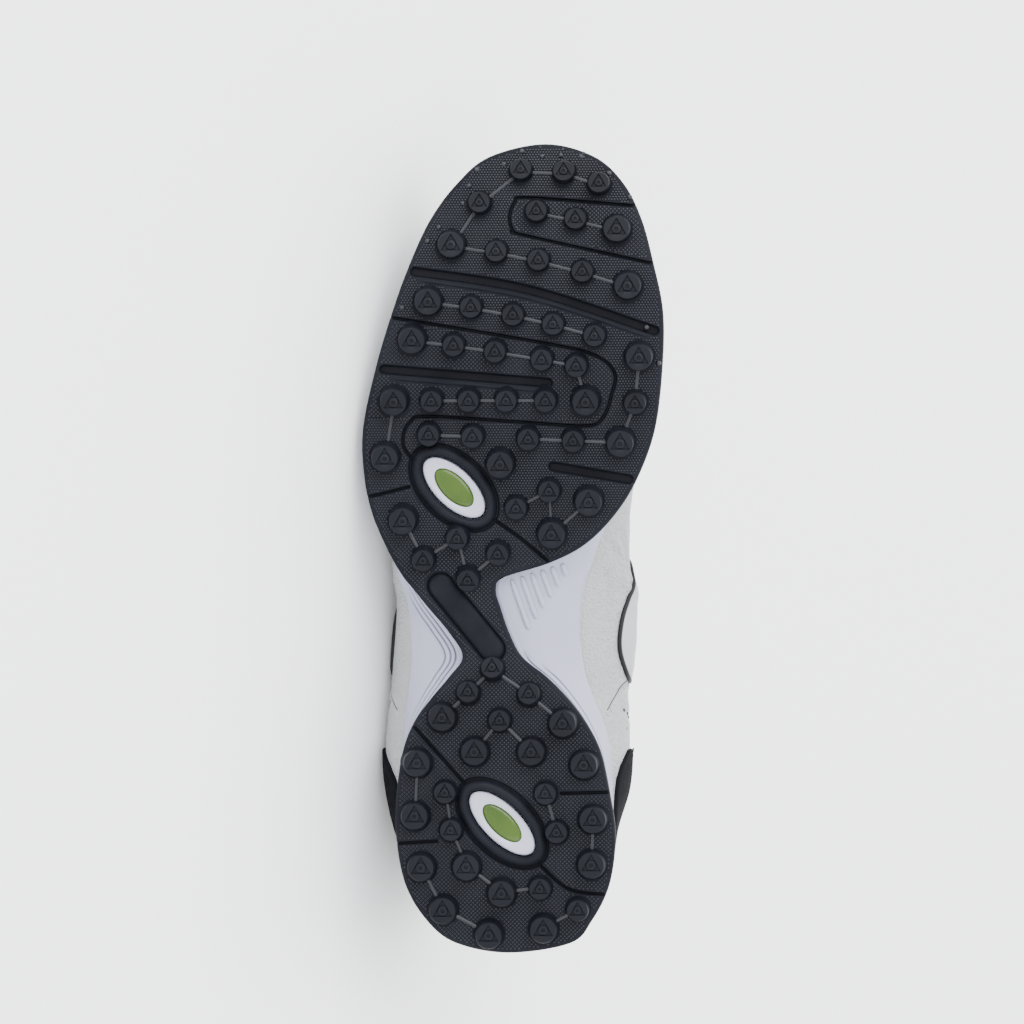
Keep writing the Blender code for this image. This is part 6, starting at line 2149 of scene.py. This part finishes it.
    def build_seams(self) -> None:
        """Quarter seams, collar seam and the perforations in front of the counter."""
        rows, seams = [], []
        for side in Side:
            line = open_curve(SHOE.side_line(self.quarter_seam), 10)
            rows.append(self.drop_from_side(line, side))
            points, normals = self.drop_from_side(line + (self.seam_step, 0.0), side)
            seams.append(points + normals * 0.00005)
        self.stitch("quarter_zigzag", rows, 0.0001, "thread", Slot.TEXTILE, (0.9, 0.8, 0.8), 1.0)
        publish(self.shop.rails("quarter_seam_lines", seams, 0.00022, "hole", 8), Slot.LEATHER)
        station = np.linspace(self.form.station(0.395, Side.MEDIAL, "crest") - self.form.count,
                              self.form.station(0.395, Side.LATERAL, "crest"), 300)
        points = self.form.point(station, 0.775)
        normals = self.form.normal(station, 0.775)
        self.stitch("collar_stitches", [(points, normals)], 0.0001, "thread", Slot.TEXTILE)
        spots, axes = [], []
        for side in Side:
            dots = [(0.295 - 0.023 * i - 0.005 * k, 0.455 + 0.055 * k + 0.010 * i)
                    for i in range(2) for k in range(3)]
            hits, normals = self.drop_from_side(SHOE.side_line(dots), side)
            spots.append(hits)
            axes.append(normals)
        places, normals = np.concatenate(spots), np.concatenate(axes)
        # Each perforation is a dark disc on the leather, not a hole: painted shade
        profile = [(0.0006, -0.0004), (0.0006, 0.00004), (0.0004, 0.00006)]
        template = lathe_mesh("perforation", profile, 12)
        piece = self.shop.scatter("perforations", template, places,
                                  turns_from(normals, np.roll(normals, 1, axis=1)), "hole")
        publish(piece, Slot.LEATHER)

    def build(self) -> None:
        """Build and publish the upper and all that is sewn on it."""
        shell = self.build_shell()
        self.punch(shell)
        publish(shell, Slot.LEATHER, "upper")
        self.build_counter()
        self.build_saddles()
        self.build_eyestay()
        self.build_seams()


@dataclass
class Insides:
    """Tongue, insole and lacing."""

    shop: Workshop
    upper: Upper
    tongue_thickness: float = 0.0045
    tongue_crown: float = 0.0022
    tongue_rise: float = 0.034
    tongue_play: float = 0.0006
    tongue_half_width: float = 0.017
    insole_thickness: float = 0.004
    lace_width: float = 0.0054
    lace_thickness: float = 0.0012
    lace_crown: float = 0.0064
    lace_step: float = 0.0014
    lace_play: float = 0.0007

    def tongue_rows(self) -> list[tuple[np.ndarray, np.ndarray]]:
        """Rows of points across the tongue with their outward direction."""
        form = self.upper.form
        rows = []
        for share in (0.735, 0.705, 0.672):
            x = SHOE.instep_line(share) - np.linspace(-1.0, 1.0, 9) * self.tongue_half_width
            y = share * SHOE.length
            points = []
            for value in x:
                origin = Vector((value, y, 0.15))
                hit = self.upper.surface.ray_cast(origin, Vector((0, 0, -1)))[0]
                height = hit.z - SHOE.wall if hit else SHOE.crest_height(share) - SHOE.wall
                points.append((value, y, height - self.tongue_play * 2.5))
            rows.append((np.array(points), np.array([0.0, 0.0, 1.0])))
        depth = SHOE.wall + self.tongue_play
        levels = np.array((0.75, 0.84, 1.0))
        crests = SECTIONS[:, SECTION_COLUMNS.index("crest")]
        for share in crests[(crests > 0.450) & (crests < 0.640)][::-1]:
            lateral = form.station(share, Side.LATERAL, "crest")
            medial = form.station(share, Side.MEDIAL, "crest")
            left = form.point(lateral, levels) - form.normal(lateral, levels) * depth
            right = (form.point(medial, levels) - form.normal(medial, levels) * depth)[::-1]
            up = unit(form.normal(lateral, 1.0) + form.normal(medial, 1.0))
            steps = np.array((0.25, 0.5, 0.75))[:, None]
            crown = (left[-1] * (1 - steps) + right[0] * steps
                     + up * self.tongue_crown * 4 * steps * (1 - steps))
            rows.append((np.concatenate([left, crown, right]), up))
        points, up = rows[-1]
        middle = points[4]
        climb = unit(unit(middle - rows[-2][0][4]) + np.array([0.0, 0.0, 0.45]))
        for reach, narrow in ((0.30, 0.44), (0.60, 0.45), (0.88, 0.48), (1.0, 0.56)):
            moved = (points + (middle - points) * narrow + climb * self.tongue_rise * reach
                     - up * self.tongue_play)
            rows.append((moved, up))
        return rows

    def build_tongue(self) -> None:
        """Padded tongue with a bound edge and two quilted channels."""
        rows = self.tongue_rows()
        centre = np.array([points for points, _ in rows])
        ups = np.array([up for _, up in rows])
        dense = np.array([open_curve(row, 5) for row in centre])
        dense = open_curve(dense.reshape(len(rows), -1), 6).reshape(-1, dense.shape[1], 3)
        up_rows = unit(open_curve(ups, 6))
        count, width, _ = dense.shape
        along = np.gradient(dense, axis=0)
        across = np.gradient(dense, axis=1)
        normal = unit(np.cross(along, across))
        facing = np.sign((normal * up_rows[:, None]).sum(axis=2, keepdims=True))
        normal = normal * np.where(facing == 0, 1.0, facing)
        u = np.linspace(0.0, 1.0, width)[None, :]
        v = np.linspace(0.0, 1.0, count)[:, None]
        edge_u = np.minimum(u, 1 - u) * 2
        edge_v = np.minimum(v, 1 - v) * 2
        plump = (np.sqrt(np.clip(edge_u / 0.22, 0.03, 1.0))
                 * np.sqrt(np.clip(edge_v / 0.10, 0.05, 1.0)))
        quilt = 1.0 - 0.30 * (np.exp(-((u - 0.36) / 0.018) ** 2)
                              + np.exp(-((u - 0.64) / 0.018) ** 2)) * ease((v - 0.75) / 0.08)
        thick = self.tongue_thickness * plump * quilt
        top = dense - normal * (self.tongue_thickness * 0.30 * (1 - plump * quilt))[..., None]
        bottom = top - normal * thick[..., None] * 0.9
        points = np.concatenate([top.reshape(-1, 3), bottom.reshape(-1, 3)])
        start = count * width
        faces = [tuple(f) for f in grid_faces(count, width)]
        faces += [tuple(f) for f in grid_faces(count, width, start=start, flip=True)]
        ring = ([k for k in range(width)]
                + [r * width + width - 1 for r in range(1, count)]
                + [(count - 1) * width + k for k in range(width - 2, -1, -1)]
                + [r * width for r in range(count - 2, 0, -1)])
        for a, b in zip(ring, ring[1:] + ring[:1]):
            faces.append((a, b, b + start, a + start))
        surface = np.stack(np.broadcast_arrays(u * 0.04, v * 0.14), axis=-1).reshape(-1, 2)
        piece = self.shop.mesh("tongue_pad", points, turned_out(points, faces), ["tongue"],
                               uv=np.concatenate([surface, surface]), sharp=60.0)
        publish(piece, Slot.TEXTILE, "tongue")
        border = np.concatenate([dense[-40:, 0], dense[-1, 1:], dense[-40:-1, -1][::-1]])
        binding = self.shop.rails("tongue_binding", [border], 0.0011, "leather_smooth", 12)
        publish(binding, Slot.TEXTILE)

    def build_insole(self) -> None:
        """Cloth-covered insole, cupped a little at its edge."""
        feather = closed_curve(SHOE.feather(), 6)
        rings = []
        for distance, rise in ((0.0042, 0.0), (0.0046, 0.002), (0.0056, 0.0036), (0.0070, 0.0042),
                               (0.0100, 0.0038), (0.0150, 0.0034)):
            loop = inset(feather, distance)
            rings.append(np.column_stack([loop, SHOE.bed(loop[:, 1]) + SHOE.gap + rise]))
        grid = np.stack(rings, axis=1)
        points = grid.reshape(-1, 3)
        faces = turned_out(points, strip_faces(*grid.shape[:2]))
        piece = self.shop.mesh("insole_bed", points, faces, ["insole"], uv=points[:, :2])
        publish(piece, Slot.TEXTILE, "insole")

    def lace_stops(self) -> list[list[tuple[np.ndarray, np.ndarray, float]]]:
        """Stops of both runs of the lace: point, outward normal, share of the width."""
        centres, normals = self.upper.eyelets()
        form = self.upper.form
        rest = self.upper.eyestay_thickness + SHOE.overlay_gap + self.lace_play
        under = -(SHOE.wall + 0.0006)
        pairs = self.upper.eyelet_pairs
        edges, ups, middles = [], [], []
        for index, share in enumerate(self.upper.eyelet_shares()):
            both = [form.point(form.station(share, side, "crest"), 1.0) for side in Side]
            edges.append(both)
            middles.append((both[0] + both[1]) / 2)
            ups.append(unit(normals[2 * index] + normals[2 * index + 1]))
        runs = []
        for first in (0, 1):
            stops = []
            side = first
            for index in range(pairs - 1):
                hole, axis = centres[2 * index + side], normals[2 * index + side]
                edge = edges[index][side]
                if index == 0:
                    inward = edge + (middles[0] - edge) * 0.98
                    stops.append((inward + ups[0] * 0.0004, ups[0], 0.9))
                    stops.append((edge + (middles[0] - edge) * 0.35 - ups[0] * 0.0002, ups[0], 0.9))
                    stops.append((hole + axis * under + (edge - hole) * 0.35, axis, 0.75))
                stops.append((hole + axis * (under * 0.4), axis, 0.55))
                stops.append((hole + axis * (rest + 0.0010), axis, 0.62))
                leaning = unit(axis * 0.65 + ups[index] * 0.35)
                stops.append((edge + leaning * (rest + 0.0004), unit(axis + ups[index]), 1.0))
                up = unit(ups[index] + ups[index + 1])
                middle = (middles[index] + middles[index + 1]) / 2
                crown = self.lace_crown + self.lace_step * (1 if side == 0 else 0)
                stops.append((middle + up * crown, up, 1.0))
                side = 1 - side
                far, far_axis = centres[2 * index + 2 + side], normals[2 * index + 2 + side]
                far_edge = edges[index + 1][side]
                stops.append((far_edge + (middles[index + 1] - far_edge) * 0.36
                              + ups[index + 1] * 0.0004, ups[index + 1], 0.95))
                stops.append((far + far_axis * under + (far_edge - far) * 0.35, far_axis, 0.75))
            last = centres[2 * (pairs - 1) + side]
            axis = normals[2 * (pairs - 1) + side]
            stops.append((last + axis * (under * 0.4), axis, 0.55))
            stops.append((last + axis * (rest - 0.0008), axis, 0.50))
            runs.append(stops)
        return runs

    def tape(self, stops: Sequence[tuple[np.ndarray, np.ndarray, float]]
             ) -> tuple[np.ndarray, list[tuple[int, ...]], np.ndarray]:
        """Closed flat tape through stops.

        Args:
            stops: point, outward normal and share of the width.

        Returns:
            Points, faces and surface coordinates.
        """
        table = np.array([[*point, *normal, width] for point, normal, width in stops])
        dense = open_curve(table, 9)
        path, ups, widths = dense[:, :3], unit(dense[:, 3:6]), dense[:, 6]
        tangent = unit(np.gradient(path, axis=0))
        side = np.cross(tangent, ups)
        for index in range(len(side)):
            if np.linalg.norm(side[index]) < 0.35 and index:
                side[index] = side[index - 1]
            side[index] = unit(side[index])
            if index and side[index] @ side[index - 1] < 0:
                side[index] = -side[index]
            if index:
                side[index] = unit(side[index] * 0.35 + side[index - 1] * 0.65)
        side = unit(side - tangent * (side * tangent).sum(axis=1, keepdims=True))
        lift = unit(np.cross(side, tangent))
        lift = lift * np.where((lift * ups).sum(axis=1, keepdims=True) < 0, -1.0, 1.0)
        section = []
        for angle in np.arange(12) * math.pi / 6:
            section.append((np.sign(math.cos(angle)) * abs(math.cos(angle)) ** 0.45,
                            np.sign(math.sin(angle)) * abs(math.sin(angle)) ** 0.7))
        rings, uv = [], []
        run = np.concatenate([[0.0], np.cumsum(np.linalg.norm(np.diff(path, axis=0), axis=1))])
        for index in range(len(path)):
            half = self.lace_width / 2 * widths[index]
            thick = self.lace_thickness / 2 * (1.0 + 0.5 * (1 - widths[index]))
            rings.append([path[index] + side[index] * half * u + lift[index] * thick * v
                          for u, v in section])
            uv.append([(self.lace_width / 2 * u, run[index]) for u, _ in section])
        points = np.array(rings).reshape(-1, 3)
        faces = turned_out(points, ring_faces(len(path), len(section)))
        return points, faces, np.array(uv).reshape(-1, 2)

    def build_lacing(self) -> None:
        """One lace, run through the eyelets up to the top pair."""
        points, faces, surface = [], [], []
        total = 0
        for stops in self.lace_stops():
            made, made_faces, uv = self.tape(stops)
            points.append(made)
            faces += [tuple(k + total for k in face) for face in made_faces]
            surface.append(uv)
            total += len(made)
        piece = self.shop.mesh("lacing", np.concatenate(points), faces, ["lace"],
                               uv=np.concatenate(surface), sharp=60.0)
        publish(piece, Slot.TEXTILE, "lace_cross_1", "lace_cross_2", "lace_cross_3",
                "lace_cross_4")

    def build(self) -> None:
        """Build and publish the pieces inside the upper."""
        self.build_insole()
        self.build_tongue()
        self.build_lacing()


@dataclass
class Studio:
    """Pale floor, soft light and the photograph's camera."""

    eye: tuple[float, float, float] = (-0.0756, 0.145, -1.594)
    aim: tuple[float, float, float] = (-0.0023, 0.1575, 0.010)
    frame_height: float = 0.3665
    sensor: float = 36.0

    def build_floor(self) -> None:
        """Plain pale floor just under the shoe."""
        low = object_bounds()[0]
        size = 6.0
        z = min(0.0, low.z) - 0.00005
        corners = [(-size, -size, z), (size, -size, z), (size, size, z), (-size, size, z)]
        data = raw_mesh("studio_floor", corners, faces=[(0, 1, 2, 3)])
        material = bpy.data.materials.new("studio_floor_pale")
        material.use_nodes = True
        NodeBench(material.node_tree).feed(material.node_tree.nodes["Principled BSDF"], {
            "Base Color": (0.93, 0.93, 0.93, 1.0), "Roughness": 0.9, "Specular IOR Level": 0.2})
        data.materials.append(material)
        in_scene("studio_floor", data)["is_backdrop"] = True

    def build_light(self) -> None:
        """Large soft lamps and an even pale surround."""
        world = bpy.data.worlds.new("studio_surround")
        world.use_nodes = True
        NodeBench(world.node_tree).feed(world.node_tree.nodes["Background"], {
            "Color": (0.96, 0.98, 1.0, 1.0), "Strength": 2.7})
        bpy.context.scene.world = world
        lamps = (
            ("key", (-1.7, -1.1, 1.4), 1.8, 80.0),
            ("fill", (1.6, -1.4, 1.3), 2.0, 27.0),
            ("back", (-0.4, 1.6, 1.8), 2.0, 52.0),
        )
        for name, spot, size, power in lamps:
            data = bpy.data.lights.new(name + "_lamp", "AREA")
            data.shape = "SQUARE"
            data.size = size
            data.energy = power
            lamp = in_scene(name + "_lamp", data)
            lamp.location = spot
            aim = Vector((0, 0, 0.05)) - Vector(spot)
            lamp.rotation_euler = aim.to_track_quat("-Z", "Y").to_euler()

    def build_camera(self) -> None:
        """Camera facing the sole as the photograph does, toe up in the picture."""
        eye = TO_ROW @ Vector(self.eye)
        aim = TO_ROW @ Vector(self.aim)
        toe = (TO_ROW.to_3x3() @ Vector((0, 1, 0))).normalized()
        back = (eye - aim).normalized()
        right = toe.cross(back).normalized()
        up = back.cross(right)
        data = bpy.data.cameras.new("photo_camera")
        data.sensor_width = self.sensor
        data.lens = self.sensor * (eye - aim).length / self.frame_height
        data.clip_end = 50.0
        camera = in_scene("photo_camera", data)
        turn = Matrix((right, up, back)).transposed().to_4x4()
        camera.matrix_world = Matrix.Translation(eye) @ turn
        bpy.context.scene.camera = camera

    def build(self) -> None:
        """Build the floor, the light and the camera."""
        self.build_floor()
        self.build_light()
        self.build_camera()


def main() -> None:
    """Build every piece of the shoe, then the studio."""
    logging.basicConfig(level=logging.INFO, format="%(name)s: %(message)s")
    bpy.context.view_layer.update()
    shop = Workshop()
    Outsole(shop).build()
    WindowPieces(shop).build()
    Midsole(shop).build()
    upper = Upper(shop, UpperForm())
    upper.build()
    Insides(shop, upper).build()
    Studio().build()


if __name__ == "__main__":
    main()
